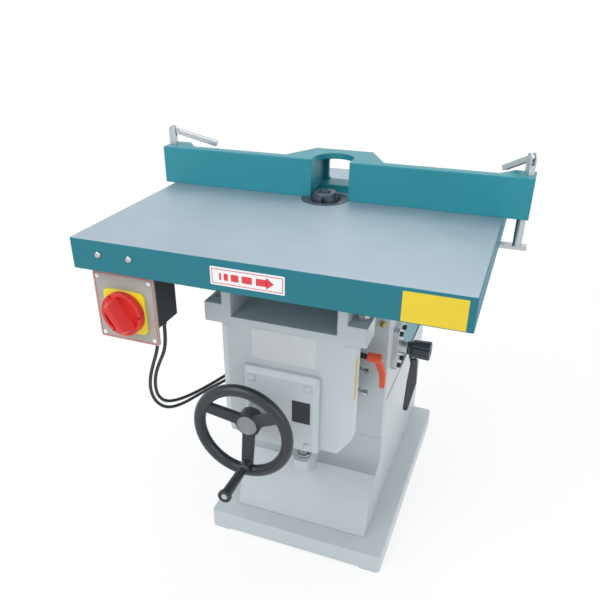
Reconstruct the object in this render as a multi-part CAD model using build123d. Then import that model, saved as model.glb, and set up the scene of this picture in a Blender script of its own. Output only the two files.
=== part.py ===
from build123d import *
import math
import os

# Spindle moulder with a lifting table. Millimetres; X to the right, Y to the back, Z up.
# The origin is on the floor, straight below the spindle axis.

# Fits
shaft_fit = 0.05
slide_fit = 0.3
seat_fit = 0.02
through_gap = 0.5
edge_break = 1.5

# Base plate
base_width = 490.0
base_front = 213.0
base_depth = 718.0
base_height = 55.0
base_skin = 14.0
base_skirt = 16.0
base_corner = 14.0
base_edge = 3.0
relief_depth = 5.0
relief_inset = 55.0

# Pedestal and column
pedestal_width = 374.0
pedestal_sheet = 8.0
pedestal_rear_inset = 2.0
column_front_offset = 35.0
toe_reach = 123.0
shelf_reach = 47.0
slope_height = 156.0
cove_radius = 45.0
apron_rise = 90.0
rim_height = 416.0
column_wall = 20.0
column_side = 12.0
column_back = 150.0
column_edge = 5.0
deck_thickness = 18.0
column_drop = 70.0

# Dovetail way and lift
way_root = 130.0
way_front = 168.0
way_depth = 33.0
guide_plate = 25.0
guide_plate_width = 190.0
relief_radius = 52.0
relief_room = 8.0
way_bottom_rise = 50.0
way_top_drop = 10.0
gib_thickness = 6.0
screw_offset = 34.0
screw_radius = 11.0
screw_collar_radius = 18.0
screw_collar_height = 8.0
screw_margin = 16.0
bracket_width = 40.0
bracket_height = 53.0
bracket_reach = 30.0
bracket_lip = 29.0
corbel_drop = 20.0
lift_up = 40.0
nut_height = 44.0
nut_radius = 18.0
nut_gear_height = 22.0
nut_gear_radius = 31.0
nut_gear_teeth = 22
pinion_teeth = 12
pinion_radius = 17.0
pinion_width = 20.0
tooth_depth = 3.0

# Table
table_top = 925.0
table_width = 800.0
table_depth = 700.0
spindle_setback = 425.0
apron_depth = 65.0
table_plate = 22.0
apron_wall = 16.0
table_corner = 3.0
table_hole_radius = 48.0
ring_radius = 56.0
ring_bore = 36.0
ring_thickness = 10.0
pad_inner = 118.0
pad_outer = 190.0

# Knee
knee_height = 444.0
knee_front = 275.0
knee_front_width = 266.0
knee_chamfer = 25.0
knee_block_depth = 65.0
saddle_width = 236.0
saddle_gap = 5.0
trough_depth = 135.0
web_inner = 122.0
web_thickness = 22.0
web_back = 100.0
trough_back_wall = 20.0
top_flange = 18.0
ear_height = 46.0
ear_drop = 108.0
shaft_above_bottom = 96.0
cavity_half = 75.0
cavity_margin = 15.0
bearing_web = 25.0
channel_half = 60.0
channel_margin = 45.0
thrust_shelf = 20.0
trough_plate = 25.0
gear_room = 6.0

# Gear cover
cover_width = 180.0
cover_height = 205.0
cover_depth = 20.0
cover_slope = 11.0
cover_wall = 9.0
cover_screw_inset = 24.0
screw_head_radius = 8.0
screw_head_height = 5.0
screw_shank_radius = 4.0
screw_grip = 12.0
screw_edge_share = 0.35
screw_crown_share = 0.7
screw_crown_rise = 0.85

# Handwheel and crank
wheel_offset = 49.0
wheel_radius = 118.0
wheel_tube = 13.3
wheel_stand_off = 56.0
rim_dish = 39.0
hub_radius = 30.0
hub_length = 30.0
spoke_root = 30.0
spoke_tip = 26.0
spoke_thickness = 14.0
spoke_forward = 3.0
spoke_first_angle = 34.0
drive_shaft_radius = 12.0
bush_radius = 16.0
bush_collar_radius = 23.0
bush_flange_radius = 27.0
bush_flange = 4.0
crank_throw = 89.0
crank_boss_radius = 12.0
grip_length = 94.0
grip_gap = 1.0
grip_root_radius = 10.0
grip_waist_radius = 11.6
grip_flange_radius = 15.0
grip_flange = 8.0
grip_flare = 12.0
grip_recess_radius = 9.0
grip_recess = 6.0
grip_axle_radius = 5.0
grip_collar_radius = 8.5
grip_collar_length = 6.0
grip_screw_head = 4.0
grip_screw_radius = 7.0

# Side locks on the knee
lock_rise = 57.0
gib_screw_upper = 14.0
gib_screw_pitch = 62.0
gib_screw_radius = 5.0
gib_screw_reach = 31.0
gib_nut_across = 19.0
gib_nut_thickness = 12.0
gib_head_across = 15.0
gib_head = 11.0
lock_stud_radius = 7.0
lock_stud_reach = 26.0
lock_hub_radius = 12.0
lock_hub_length = 35.0
lock_arm_length = 78.0
lock_arm_lean = 14.0
lock_arm_width = 15.0
lock_arm_root = 16.5
lock_arm_tip = 12.0
lock_bend_drop = 42.0
lock_bend_radius = 14.0

# Table fasteners
table_bolt_radius = 6.0
table_bolt_across = 19.0
table_bolt_head = 8.0
table_bolt_engage = 25.0
table_dowel_depth = 13.0
flange_overhang = 42.0
bolt_edge = 21.0
bolt_pitch = 125.0
stud_radius = 8.0
stud_nut_across = 24.0
stud_nut_height = 13.0

# Fence
mouth_shift = 9.4
fence_height = 88.0
fence_thickness = 26.0
fence_edge = 1.5
mouth_width = 91.0
arch_setback = 31.0
hood_front_width = 238.0
hood_back_width = 142.0
hood_back = 116.0
hood_roof = 13.0
hood_wall = 10.0
hood_room_width = 94.0
hood_floor = 17.0
floor_cut = 60.0
window_width = 74.0
window_roof = 19.0
window_corner = 10.0
lug_depth = 63.0
lug_length = 74.0
lug_back_length = 44.0

# Fence clamps
clamp_inset = 14.5
clamp_setback = 28.0
clamp_rod_radius = 9.5
left_rod_gap = 0.5
right_rod_gap = 25.5
clamp_shoulder = 14.0
clamp_spigot_radius = 4.0
jaw_gap = 0.4
jaw_thickness = 8.0
jaw_width = 22.0
jaw_inner_overlap = 24.0
left_jaw_outer = 13.7
right_jaw_outer = 21.0
post_width = 16.0
post_depth = 13.0
post_height = 46.0
post_round = 7.5
post_slot = 6.8
post_socket = 16.0
post_slot_depth = 16.0
clamp_pin_radius = 2.5
clamp_pin_drop = 9.0
clamp_lever_length = 117.0
clamp_lever_width = 13.0
clamp_lever_height = 12.0
clamp_lever_wall = 2.0
clamp_tongue = 6.0
clamp_lever_start = 20.0
left_lever_angle = 9.0
left_droop_angle = 15.0
right_lever_angle = 121.0
right_droop_angle = 24.0

# Switch
switch_inset = 28.0
panel_width = 145.0
panel_height = 154.0
panel_thickness = 5.0
panel_setback = 20.0
panel_drop = 9.0
panel_corner = 5.0
box_inset = 5.0
box_depth = 75.0
box_height = 122.0
box_drop = 2.0
box_edge = 4.0
box_wall = 4.0
box_screw_post = 9.0
tab_thickness = 20.0
tab_gap = 1.0
tab_inset = 22.0
switch_drop = 6.0
switch_plate_width = 98.0
switch_plate_height = 95.0
switch_plate_thickness = 6.0
switch_plate_corner = 12.0
handle_radius = 48.0
handle_base = 9.0
handle_rim = 8.0
handle_rim_height = 6.0
handle_bar_length = 84.0
handle_bar_width = 34.0
handle_bar_height = 34.0
handle_bar_taper = 19.0
handle_bar_round = 3.0
handle_bar_angle = -58.0
handle_hole_radius = 2.6
handle_hole_count = 3
handle_gap = 1.0
handle_stem_radius = 7.0
handle_stem_length = 22.0
panel_screw_inset = 11.0
panel_screw_radius = 5.0
panel_screw_dome = 3.5
apron_bolt_radius = 7.0
apron_bolt_head = 5.0
apron_bolt_pitch = 72.0
apron_bolt_drop = 29.0

# Cables
cable_radius = 4.0
gland_radius = 8.0
gland_length = 18.0
gland_nut = 6.0
gland_nose_radius = 7.2
gland_lip = 1.6
gland_pitch = 19.0
gland_inset = 22.0
column_gland_rise = 76.0
column_gland_side = 12.0
left_cable_route = [
    (-276, -346, 644), (-294, -342, 602), (-312, -335, 556), (-324, -322, 508), (-325, -302, 462),
    (-312, -276, 432), (-288, -244, 430), (-261, -212, 443), (-230, -182, 459), (-196, -150, 474),
]
right_cable_route = [
    (-258, -344, 646), (-278, -338, 610), (-298, -331, 568), (-312, -318, 524), (-320, -299, 480),
    (-316, -272, 448), (-296, -240, 440), (-268, -204, 446), (-238, -168, 459), (-208, -132, 475),
]
box_lead = 34.0
column_lead = 44.0
arc_share = 0.45

# Spindle
housing_radius = 46.0
housing_length = 215.0
housing_stand = 35.0
housing_flange_radius = 66.0
housing_flange = 16.0
housing_bore = 28.0
bearing_radius = 36.0
bearing_width = 20.0
bearing_inset = 10.0
journal_radius = 20.0
shoulder_radius = 24.0
slinger_radius = 30.0
slinger_height = 12.0
slinger_gap = 5.0
arbor_radius = 15.0
arbor_thread_radius = 12.0
cutter_radius = 30.0
cutter_height = 29.0
cutter_sink = 20.0
knife_count = 4
knife_width = 6.0
knife_proud = 1.0
gullet_width = 12.0
gullet_depth = 8.0
nut_disc_radius = 26.0
nut_disc_height = 8.0
arbor_proud = 4.0

# Belt drive and motor
belt_plane_drop = 230.0
spindle_pulley_radius = 40.0
motor_pulley_radius = 95.0
pulley_width = 50.0
pulley_rim = 6.0
pulley_rim_height = 5.0
belt_width = 34.0
belt_thickness = 4.0
pulley_bore_radius = 17.0
spindle_tail = 12.0
motor_setback = 330.0
motor_radius = 92.0
motor_length = 300.0
motor_fin_depth = 7.0
motor_fin_width = 5.0
motor_fin_count = 20
motor_fin_length = 210.0
motor_shaft_radius = 14.0
motor_shaft_depth = 40.0
motor_plate_thickness = 14.0
motor_plate_depth = 230.0
motor_plate_hole = 60.0
motor_plate_gap = 9.0
rail_width = 8.0
rail_inset = 8.0
rail_foot = 30.0
rail_margin = 25.0
rear_cover_sheet = 3.0
rear_cover_inset = 2.0
rear_cover_head = 24.0
rear_cover_gap = 2.0

# Belt tension
tension_setback = 30.0
tension_above_plate = 42.0
tension_shaft_radius = 12.0
crank_radius = 16.0
crank_web_radius = 28.0
crank_web = 12.0
crank_pin_radius = 7.0
crank_pin_length = 18.0
crank_inset = 45.0
yoke_thickness = 8.0
yoke_slot_margin = 12.0
yoke_play = 0.8
yoke_wall = 16.0
flange_width = 60.0
flange_height = 118.0
flange_corner = 14.0
flange_thickness = 15.0
flange_screw_side = 19.0
flange_screw_rise = 45.0
flange_screw_radius = 6.5
flange_screw_head = 8.0
flange_screw_shank = 4.0
tension_lever_gap = 20.0
tension_boss_radius = 18.0
tension_lever_thickness = 10.0
tension_eye_radius = 18.0
arm_depth = 11.0
arm_edge = 3.0
arm_hole_radius = 3.0
arm_neck_drop = 26.0
arm_stations = [(19.0, 36.5, 8.5), (18.0, 98.0, 12.5), (9.0, 184.0, 7.0)]
knob_root_radius = 22.0
knob_radius = 24.5
knob_length = 46.0
knob_gap = 1.0
knob_stud_radius = 9.0
knob_stud_length = 34.0
knob_flutes = 10
knob_flute_radius = 5.0
knob_socket_across = 14.0
knob_socket_depth = 10.0

# Oil cup
oil_cup_side = 20.0
oil_cup_rise = 228.0
oil_cup_radius = 7.0
oil_cup_seat = 6.5
oil_cup_neck_radius = 4.2
oil_cup_neck = 8.0
oil_cup_lid = 13.0
oil_cup_tip_radius = 2.5
oil_cup_length = 16.0

# Worked-out places
base_rear = base_depth - base_front
half_pedestal = pedestal_width / 2
pedestal_rear = base_rear - pedestal_rear_inset
column_face = -column_front_offset
column_inner_face = column_face + column_wall
shelf_height = base_height + slope_height
apron_top = shelf_height + apron_rise
toe_front = column_face - toe_reach
shelf_front = column_face - shelf_reach
table_front = -spindle_setback
table_rear = table_front + table_depth
half_table = table_width / 2
apron_bottom = table_top - apron_depth
column_top = apron_bottom - column_drop
guide_face = column_face - guide_plate
way_face = guide_face - way_depth
way_bottom = apron_top + way_bottom_rise
way_top = column_top - way_top_drop
screw_y = way_face - screw_offset
bracket_top = shelf_height + bracket_height
knee_bottom = apron_bottom - knee_height
knee_face = -knee_front
block_half = knee_front_width / 2 + knee_chamfer
block_back = knee_face + knee_block_depth
half_saddle = saddle_width / 2
saddle_back = guide_face - saddle_gap
trough_floor = apron_bottom - trough_depth
web_outer = web_inner + web_thickness
flange_outer = web_outer + flange_overhang
ear_top = apron_bottom - ear_drop
shaft_z = knee_bottom + shaft_above_bottom
shaft_x = -wheel_offset
cover_face = knee_face - cover_depth
wheel_y = cover_face - wheel_stand_off
rim_y = wheel_y - rim_dish
crank_angle = math.radians(spoke_first_angle + 240)
crank_x = shaft_x + crank_throw * math.cos(crank_angle)
crank_z = shaft_z + crank_throw * math.sin(crank_angle)
screw_top = shaft_z + lift_up + nut_height / 2 + screw_margin
guide_slope = (way_front - way_root) / 2 / way_depth
channel_front = screw_y - nut_gear_radius - gear_room
cavity_back = channel_front - bearing_web
lock_y = (guide_face + way_face) / 2
lock_z = shaft_z + lock_rise
belt_z = column_top - belt_plane_drop
slot_bottom = belt_z - pulley_width / 2 - spindle_tail - relief_room
plate_top = belt_z - pulley_width / 2 - motor_plate_gap
plate_bottom = plate_top - motor_plate_thickness
rail_outer = half_pedestal - pedestal_sheet - rail_inset
tension_z = plate_bottom + tension_above_plate
housing_top = column_top + housing_stand
housing_bottom = housing_top - housing_length
left_clamp_x = -(half_table + left_rod_gap + clamp_rod_radius)
right_clamp_x = half_table + right_rod_gap + clamp_rod_radius
fence_left = left_clamp_x - clamp_inset
fence_right = right_clamp_x + clamp_inset
fence_top = table_top + fence_height
panel_front = table_front + panel_setback
panel_top = apron_bottom - panel_drop
switch_left = half_table - switch_inset
panel_x = -switch_left + panel_width / 2
panel_z = panel_top - panel_height / 2
box_top = apron_bottom - box_drop
box_bottom = box_top - box_height
switch_z = panel_z - switch_drop
handle_back = panel_front - switch_plate_thickness - handle_gap
cable_start = box_bottom - gland_length
column_gland_z = rim_height + column_gland_rise
shaft_back = screw_y + pinion_width / 2 + edge_break
shaft_front = wheel_y - hub_length / 2
crank_boss_front = rim_y - wheel_tube - edge_break
crank_boss_back = rim_y + wheel_tube
grip_start = crank_boss_front - grip_collar_length - grip_gap
grip_end = grip_start - grip_length
gib_outer = way_root / 2 + guide_slope * (guide_face - lock_y) + slide_fit + gib_thickness
cutter_low = table_top - cutter_sink
cutter_high = cutter_low + cutter_height
nut_high = cutter_high + nut_disc_height
pulley_low = belt_z - pulley_width / 2
pulley_high = belt_z + pulley_width / 2
crank_face = half_pedestal - column_side - crank_inset
pin_z = tension_z - crank_radius
yoke_middle = crank_face - crank_pin_length / 2
lever_start = half_pedestal + flange_thickness + tension_lever_gap
lever_end = lever_start + tension_lever_thickness

axis_turn = {"x": Rot(0, 90, 0), "y": Rot(-90, 0, 0), "z": Rot(0, 0, 0)}
axis_plane = {"x": Plane.YZ, "y": Plane.XZ, "z": Plane.XY}
axis_step = {"x": Vector(1, 0, 0), "y": Vector(0, 1, 0), "z": Vector(0, 0, 1)}


def block(x, y, z):
    low, high = zip(x, y, z)
    centre = [(a + b) / 2 for a, b in zip(low, high)]
    return Pos(*centre) * Box(*[b - a for a, b in zip(low, high)])


def rod(axis, radius, low, high, across=(0, 0)):
    centre = list(across)
    centre.insert("xyz".index(axis), (low + high) / 2)
    return Pos(*centre) * axis_turn[axis] * Cylinder(radius, high - low)


def prism(axis, points, low, high):
    face = axis_plane[axis] * make_face(Polyline(*points, close=True))
    return Pos(axis_step[axis] * low) * extrude(face, high - low, dir=axis_step[axis])


def turned(axis, points, across=(0, 0)):
    profile = make_face(Plane.XZ * Polyline(*points, close=True))
    centre = list(across)
    centre.insert("xyz".index(axis), 0)
    return Pos(*centre) * axis_turn[axis] * revolve(profile, Axis.Z)


def hexagon(axis, across_flats, low, high, across):
    shape = extrude(RegularPolygon(across_flats / 2, 6, major_radius=False), high - low)
    centre = list(across)
    centre.insert("xyz".index(axis), low)
    return Pos(*centre) * axis_turn[axis] * shape


def both_sides(shape):
    return [shape, mirror(shape, Plane.YZ)]


def upright_edges(shape):
    return shape.edges().filter_by(Axis.Z)


# Base plate: an upturned tray, resting on one skirt that is relieved along the front
def make_base_plate():
    centre = Pos(0, base_rear - base_depth / 2, 0)
    body = centre * extrude(RectangleRounded(base_width, base_depth, base_corner), base_height)
    body = fillet(body.faces().sort_by(Axis.Z)[-1].edges(), base_edge)
    inside = Rectangle(base_width - 2 * base_skirt, base_depth - 2 * base_skirt)
    body -= centre * extrude(inside, base_height - base_skin)
    half_relief = base_width / 2 - relief_inset
    skirt_span = (-base_front - base_skirt, -base_front + base_skirt)
    return body - block((-half_relief, half_relief), skirt_span, (-relief_depth, relief_depth))


# Pedestal front outline, set back by a distance, closed on the spindle's plane
def pedestal_region(inset):
    run = shelf_front - toe_front
    level = inset * math.hypot(run, slope_height) / slope_height
    toe = (toe_front + level, base_height)
    brow = (shelf_front + level - inset * run / slope_height, shelf_height - inset)
    centre = (column_face - cove_radius, shelf_height + cove_radius)
    radius = cove_radius + inset
    low = (centre[0], centre[1] - radius)
    middle = (centre[0] + radius * math.sqrt(0.5), centre[1] - radius * math.sqrt(0.5))
    high = (centre[0] + radius, centre[1])
    lower = Polyline((0, base_height), toe, brow, low)
    upper = Polyline(high, (high[0], apron_top), (0, apron_top), (0, base_height))
    return Plane.YZ * make_face(Curve() + [lower, ThreePointArc(low, middle, high), upper])


def make_pedestal_apron():
    return extrude(pedestal_region(0) - pedestal_region(pedestal_sheet), half_pedestal, both=True)


# Two side plates, the rear plate and the rails that carry the motor
def make_pedestal_shell():
    inner = half_pedestal - pedestal_sheet
    side = Pos(inner, 0, 0) * extrude(pedestal_region(pedestal_sheet), pedestal_sheet, dir=(1, 0, 0))
    side += block((inner, half_pedestal), (0, pedestal_rear), (base_height, rim_height))
    side += block((inner, half_pedestal), (column_inner_face, 0), (apron_top, rim_height))
    rail_half = motor_plate_depth / 2 + rail_margin
    rail_span = (motor_setback - rail_half, motor_setback + rail_half)
    foot_top = rim_height - rail_foot
    side += block((rail_outer - rail_width, inner), rail_span, (foot_top - rail_foot, foot_top))
    side += block((rail_outer - rail_width, rail_outer), rail_span, (foot_top, plate_bottom))
    shell = block((-inner, inner), (pedestal_rear - pedestal_sheet, pedestal_rear), (base_height, rim_height))
    for half in both_sides(side):
        shell += half
    return shell


# Column: front wall, two sides and the deck that carries the spindle housing
def make_column():
    body = block((-half_pedestal, half_pedestal), (column_face, column_inner_face), (apron_top, column_top))
    body += block((-half_pedestal, half_pedestal), (column_face, column_back),
                  (column_top - deck_thickness, column_top))
    inner = half_pedestal - column_side
    side = block((inner, half_pedestal), (column_inner_face, column_back), (rim_height, column_top))
    for half in both_sides(side):
        body += half
    front = [edge for edge in upright_edges(body) if edge.center().Y < column_face + seat_fit]
    body = fillet(front, column_edge)
    body -= block((-relief_radius, relief_radius), (column_face, column_inner_face),
                  (slot_bottom, column_top - deck_thickness))
    body -= rod("z", housing_radius + through_gap, column_top - deck_thickness, column_top)
    return body - rod("x", tension_shaft_radius + through_gap, inner, half_pedestal,
                      (tension_setback, tension_z))


# Dovetail on a plate across the column's front, relieved behind for the spindle and its belt
def make_dovetail_way():
    half_root = way_root / 2
    half_front = way_front / 2
    half_plate = guide_plate_width / 2
    points = [(-half_root, guide_face), (half_root, guide_face), (half_front, way_face),
              (-half_front, way_face)]
    way = prism("z", points, way_bottom, way_top)
    way += block((-half_plate, half_plate), (guide_face, column_face), (way_bottom, way_top))
    return way - rod("z", relief_radius, slot_bottom, way_top)


# Fixed lead screw, standing in a bracket on the pedestal's shelf
def make_lead_screw():
    screw = rod("z", screw_radius, bracket_top - bracket_lip, screw_top, (0, screw_y))
    screw += rod("z", screw_collar_radius, bracket_top, bracket_top + screw_collar_height, (0, screw_y))
    tip = screw.faces().sort_by(Axis.Z)[-1]
    return chamfer(tip.edges(), edge_break)


def make_screw_bracket():
    half = bracket_width / 2
    front = screw_y - bracket_reach
    low = shelf_height - corbel_drop
    heel = shelf_front - corbel_drop * (shelf_front - toe_front) / slope_height
    side = [(front, bracket_top), (front, bracket_top - bracket_lip), (heel, low), (column_face, low),
            (column_face, bracket_top)]
    body = prism("x", side, -half, half)
    body -= extrude(pedestal_region(0), bracket_width, both=True)
    corners = [edge for edge in upright_edges(body) if edge.center().Y < screw_y]
    body = fillet(corners, half / 2)
    return body - rod("z", screw_radius + seat_fit, low, bracket_top, (0, screw_y))


# Rotating nut: a threaded sleeve with a toothed wheel round its middle
def toothed_disc(axis, radius, teeth, low, high, across):
    disc = rod(axis, radius, low, high, across)
    gap = 2 * math.pi * radius / teeth / 2
    centre = list(across)
    centre.insert("xyz".index(axis), (low + high) / 2)
    place = Pos(*centre) * axis_turn[axis]
    cutter = Pos(radius, 0, 0) * Box(2 * tooth_depth, gap, high - low)
    for index in range(teeth):
        disc -= place * Rot(0, 0, 360 * index / teeth) * cutter
    return disc


def make_lift_nut():
    half_gear = nut_gear_height / 2
    half_nut = nut_height / 2
    place = (0, screw_y)
    nut = toothed_disc("z", nut_gear_radius, nut_gear_teeth, shaft_z - half_gear, shaft_z + half_gear, place)
    nut += rod("z", nut_radius, shaft_z - half_nut, shaft_z + half_nut, place)
    return nut - rod("z", screw_radius + shaft_fit, shaft_z - nut_height, shaft_z + nut_height, place)


# Drive shaft from the handwheel to the pinion beside the lift nut
def make_drive_pinion():
    half = pinion_width / 2
    place = (shaft_x, shaft_z)
    pinion = toothed_disc("y", pinion_radius, pinion_teeth, screw_y - half, screw_y + half, place)
    return pinion - rod("y", drive_shaft_radius + seat_fit, screw_y - half, screw_y + half, place)


def make_drive_shaft():
    shaft = rod("y", drive_shaft_radius, shaft_front, shaft_back, (shaft_x, shaft_z))
    return chamfer(shaft.edges().filter_by(GeomType.CIRCLE), edge_break)


def make_shaft_bush():
    inner = drive_shaft_radius + shaft_fit
    front = wheel_y + hub_length / 2 + slide_fit
    flange_front = cover_face - bush_flange
    points = [(inner, front), (bush_collar_radius - edge_break, front),
              (bush_collar_radius, front + edge_break), (bush_collar_radius, flange_front),
              (bush_flange_radius, flange_front), (bush_flange_radius, cover_face), (bush_radius, cover_face),
              (bush_radius, cover_face + cover_wall), (inner, cover_face + cover_wall)]
    return turned("y", points, (shaft_x, shaft_z))


# Half width of the dovetail at a given depth
def way_half(y):
    return way_root / 2 + guide_slope * (guide_face - y)


# Outline between the dovetail's right flank and a copy of it, moved out to each side
def flank_band(left, right, back, front):
    return [(left(back), back), (right(back), back), (right(front), front), (left(front), front)]


# Knee: front block with ears, trough and web tops under the table, saddle round the dovetail
def make_knee_casting():
    half_front = knee_front_width / 2
    plan = [(0, knee_face), (half_front, knee_face), (block_half, knee_face + knee_chamfer),
            (block_half, block_back), (half_saddle, block_back), (half_saddle, saddle_back), (0, saddle_back)]
    body = prism("z", plan, knee_bottom, trough_floor)
    corner = [(block_half - knee_chamfer, knee_bottom), (block_half, knee_bottom),
              (block_half, knee_bottom + knee_chamfer)]
    body -= prism("y", corner, knee_face, block_back)
    web_y = (knee_face, -web_back)
    body += block((web_inner, web_outer), web_y, (trough_floor, apron_bottom))
    body += block((web_inner, flange_outer), web_y, (apron_bottom - top_flange, apron_bottom))
    body += block((0, web_outer), (-web_back - trough_back_wall, -web_back), (trough_floor, apron_bottom))
    body += block((0, web_outer), web_y, (trough_floor - trough_plate, trough_floor))
    body += block((half_front, flange_outer), (knee_face, block_back), (ear_top - ear_height, ear_top))
    body += mirror(body, Plane.YZ)
    slot = flank_band(lambda y: -way_half(y) - slide_fit,
                      lambda y: way_half(y) + gib_thickness + 2 * slide_fit,
                      guide_face, way_face - slide_fit)
    body -= prism("z", slot, knee_bottom - trough_plate, trough_floor + trough_plate)
    nut_top = shaft_z + nut_height / 2 + slide_fit
    channel_x = (-channel_half, channel_half)
    channel_y = (channel_front, guide_face)
    body -= block(channel_x, channel_y, (knee_bottom - trough_plate, nut_top))
    body -= block(channel_x, channel_y, (nut_top + thrust_shelf, trough_floor - channel_margin))
    body -= rod("z", screw_radius + gear_room / 2, nut_top, nut_top + thrust_shelf, (0, screw_y))
    pinion_room = pinion_radius + gear_room
    body -= block((shaft_x - pinion_room, -channel_half), (channel_front, way_face),
                  (shaft_z - pinion_room, shaft_z + pinion_room))
    body -= block((-cavity_half, cavity_half), (knee_face - cavity_margin, cavity_back),
                  (knee_bottom + cavity_margin, shaft_z + cover_height / 2 - cavity_margin))
    return body - rod("y", drive_shaft_radius + shaft_fit, cavity_back, channel_front, (shaft_x, shaft_z))


# Cover over the lift gear's front cavity, with sloped edges and a hollow back
def make_gear_cover():
    outer = Rectangle(cover_width, cover_height)
    inner = Rectangle(cover_width - 2 * cover_slope, cover_height - 2 * cover_slope)
    place = Pos(0, knee_face, shaft_z) * Rot(90, 0, 0)
    shallow = cover_depth - cover_slope
    body = place * extrude(outer, shallow)
    body += place * loft([Pos(0, 0, shallow) * outer, Pos(0, 0, cover_depth) * inner])
    hollow = Rectangle(cover_width - 4 * cover_slope, cover_height - 4 * cover_slope)
    body -= place * extrude(hollow, cover_depth - cover_wall)
    body -= rod("y", bush_radius + seat_fit, cover_face, knee_face, (shaft_x, shaft_z))
    for x, z in cover_screw_places():
        body -= rod("y", screw_shank_radius + slide_fit, cover_face, knee_face, (x, z))
    return body


def cover_screw_places():
    x = cover_width / 2 - cover_screw_inset
    z = cover_height / 2 - cover_screw_inset
    return [(sx * x, shaft_z + sz * z) for sx in (-1, 1) for sz in (-1, 1)]


# Dome-headed screw along Y, its head towards the front
def face_screw(x, z, face, head_radius, dome, shank_radius, grip):
    edge = face - dome * screw_edge_share
    crown = (head_radius * screw_crown_share, face - dome * screw_crown_rise)
    head = turned("y", [(0, face), (head_radius, face), (head_radius, edge), crown, (0, face - dome)], (x, z))
    return head + rod("y", shank_radius, edge, face + grip, (x, z))


def make_cover_screws():
    return [face_screw(x, z, cover_face, screw_head_radius, screw_head_height, screw_shank_radius,
                       cover_depth)
            for x, z in cover_screw_places()]


# Gib between the dovetail's right flank and the saddle, pressed by two screws with lock nuts
def make_gib_strip():
    band = flank_band(lambda y: way_half(y) + slide_fit, lambda y: way_half(y) + slide_fit + gib_thickness,
                      saddle_back - through_gap, way_face + through_gap)
    return prism("z", band, knee_bottom + top_flange, trough_floor - top_flange)


def make_gib_screws():
    screws = []
    for index in range(2):
        place = (lock_y, shaft_z + gib_screw_upper - index * gib_screw_pitch)
        inner = gib_outer + gib_screw_radius
        nut_end = half_saddle + gib_nut_thickness
        end = half_saddle + gib_screw_reach
        screw = rod("x", gib_screw_radius, inner, end, place)
        screws.append(screw + hexagon("x", gib_head_across, end - gib_head, end, place))
        nut = hexagon("x", gib_nut_across, half_saddle, nut_end, place)
        screws.append(nut - rod("x", gib_screw_radius + seat_fit, half_saddle, nut_end, place))
    return screws


def side_screw_holes():
    holes = rod("x", lock_stud_radius + shaft_fit, gib_outer, half_saddle, (lock_y, lock_z))
    for index in range(2):
        place = (lock_y, shaft_z + gib_screw_upper - index * gib_screw_pitch)
        holes += rod("x", gib_screw_radius + seat_fit, gib_outer, half_saddle, place)
    return holes


# Clamping lever that locks the knee: a stud in the saddle and an arm hanging beside it
def make_lock_stud():
    end = half_saddle + lock_stud_reach + lock_hub_length / 2
    return rod("x", lock_stud_radius, gib_outer + lock_stud_radius, end, (lock_y, lock_z))


def make_lock_lever():
    start = half_saddle + lock_stud_reach
    hub = rod("x", lock_hub_radius, start, start + lock_hub_length, (lock_y, lock_z))
    hub = fillet(hub.edges().filter_by(GeomType.CIRCLE), edge_break)
    outer = start + lock_hub_length - edge_break
    tip = outer + lock_arm_lean
    low = lock_z - lock_arm_length
    bend = lock_z - lock_bend_drop
    points = [(outer - lock_arm_root, lock_z), (outer, lock_z), (tip, bend), (tip, low),
              (tip - lock_arm_tip, low), (tip - (lock_arm_root + lock_arm_tip) / 2, bend)]
    arm = prism("y", points, lock_y - lock_arm_width / 2, lock_y + lock_arm_width / 2)
    arm = fillet(arm.edges().filter_by(Axis.Y).sort_by(Axis.Z)[2:4], lock_bend_radius)
    arm = fillet(arm.edges().filter_by(Axis.Y).sort_by(Axis.Z)[:2], lock_arm_tip / 3)
    socket = rod("x", lock_stud_radius + seat_fit, start, start + lock_hub_length / 2, (lock_y, lock_z))
    return hub + arm - socket


# Table: a plate with an apron all round, two pads for the knee and a seat for the ring
def make_table():
    body = block((-half_table, half_table), (table_front, table_rear), (apron_bottom, table_top))
    inner = half_table - apron_wall
    body -= block((-inner, inner), (table_front + apron_wall, table_rear - apron_wall),
                  (apron_bottom - apron_depth, table_top - table_plate))
    corners = [edge for edge in upright_edges(body) if abs(edge.center().X) > inner + seat_fit]
    body = fillet(corners, table_corner)
    body = chamfer(body.faces().sort_by(Axis.Z)[-1].edges(), edge_break)
    pad = block((pad_inner, pad_outer), (knee_face, -web_back), (apron_bottom, table_top - table_plate))
    for half in both_sides(pad):
        body += half
    body -= rod("z", ring_radius + slide_fit / 3, table_top - ring_thickness, table_top + ring_thickness)
    body -= rod("z", table_hole_radius, apron_bottom, table_top)
    for place in table_bolt_places() + table_dowel_places():
        bolt_end = apron_bottom + table_bolt_engage
        body -= rod("z", table_bolt_radius + seat_fit, apron_bottom, bolt_end, place)
    for x, z in apron_bolt_places():
        body -= rod("y", screw_shank_radius + slide_fit, table_front, table_front + apron_wall, (x, z))
    return body


def make_table_ring():
    low = table_top - ring_thickness
    points = [(ring_bore, low), (ring_radius, low), (ring_radius, table_top - edge_break),
              (ring_radius - edge_break, table_top), (ring_bore + edge_break, table_top),
              (ring_bore, table_top - edge_break)]
    return turned("z", points)


def table_bolt_places():
    x = flange_outer - bolt_edge
    return [(side * x, knee_face + bolt_edge) for side in (-1, 1)]


def table_dowel_places():
    return [(x, y + bolt_pitch) for x, y in table_bolt_places()]


# Two bolts from below at the front, two dowels in blind holes at the back
def make_table_bolts():
    seat = apron_bottom - top_flange
    end = apron_bottom + table_bolt_engage
    bolts = []
    for place in table_bolt_places():
        head = hexagon("z", table_bolt_across, seat - table_bolt_head, seat, place)
        bolts.append(head + rod("z", table_bolt_radius, seat, end, place))
    for place in table_dowel_places():
        bolts.append(rod("z", table_bolt_radius, apron_bottom - table_dowel_depth, end, place))
    return bolts


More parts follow.
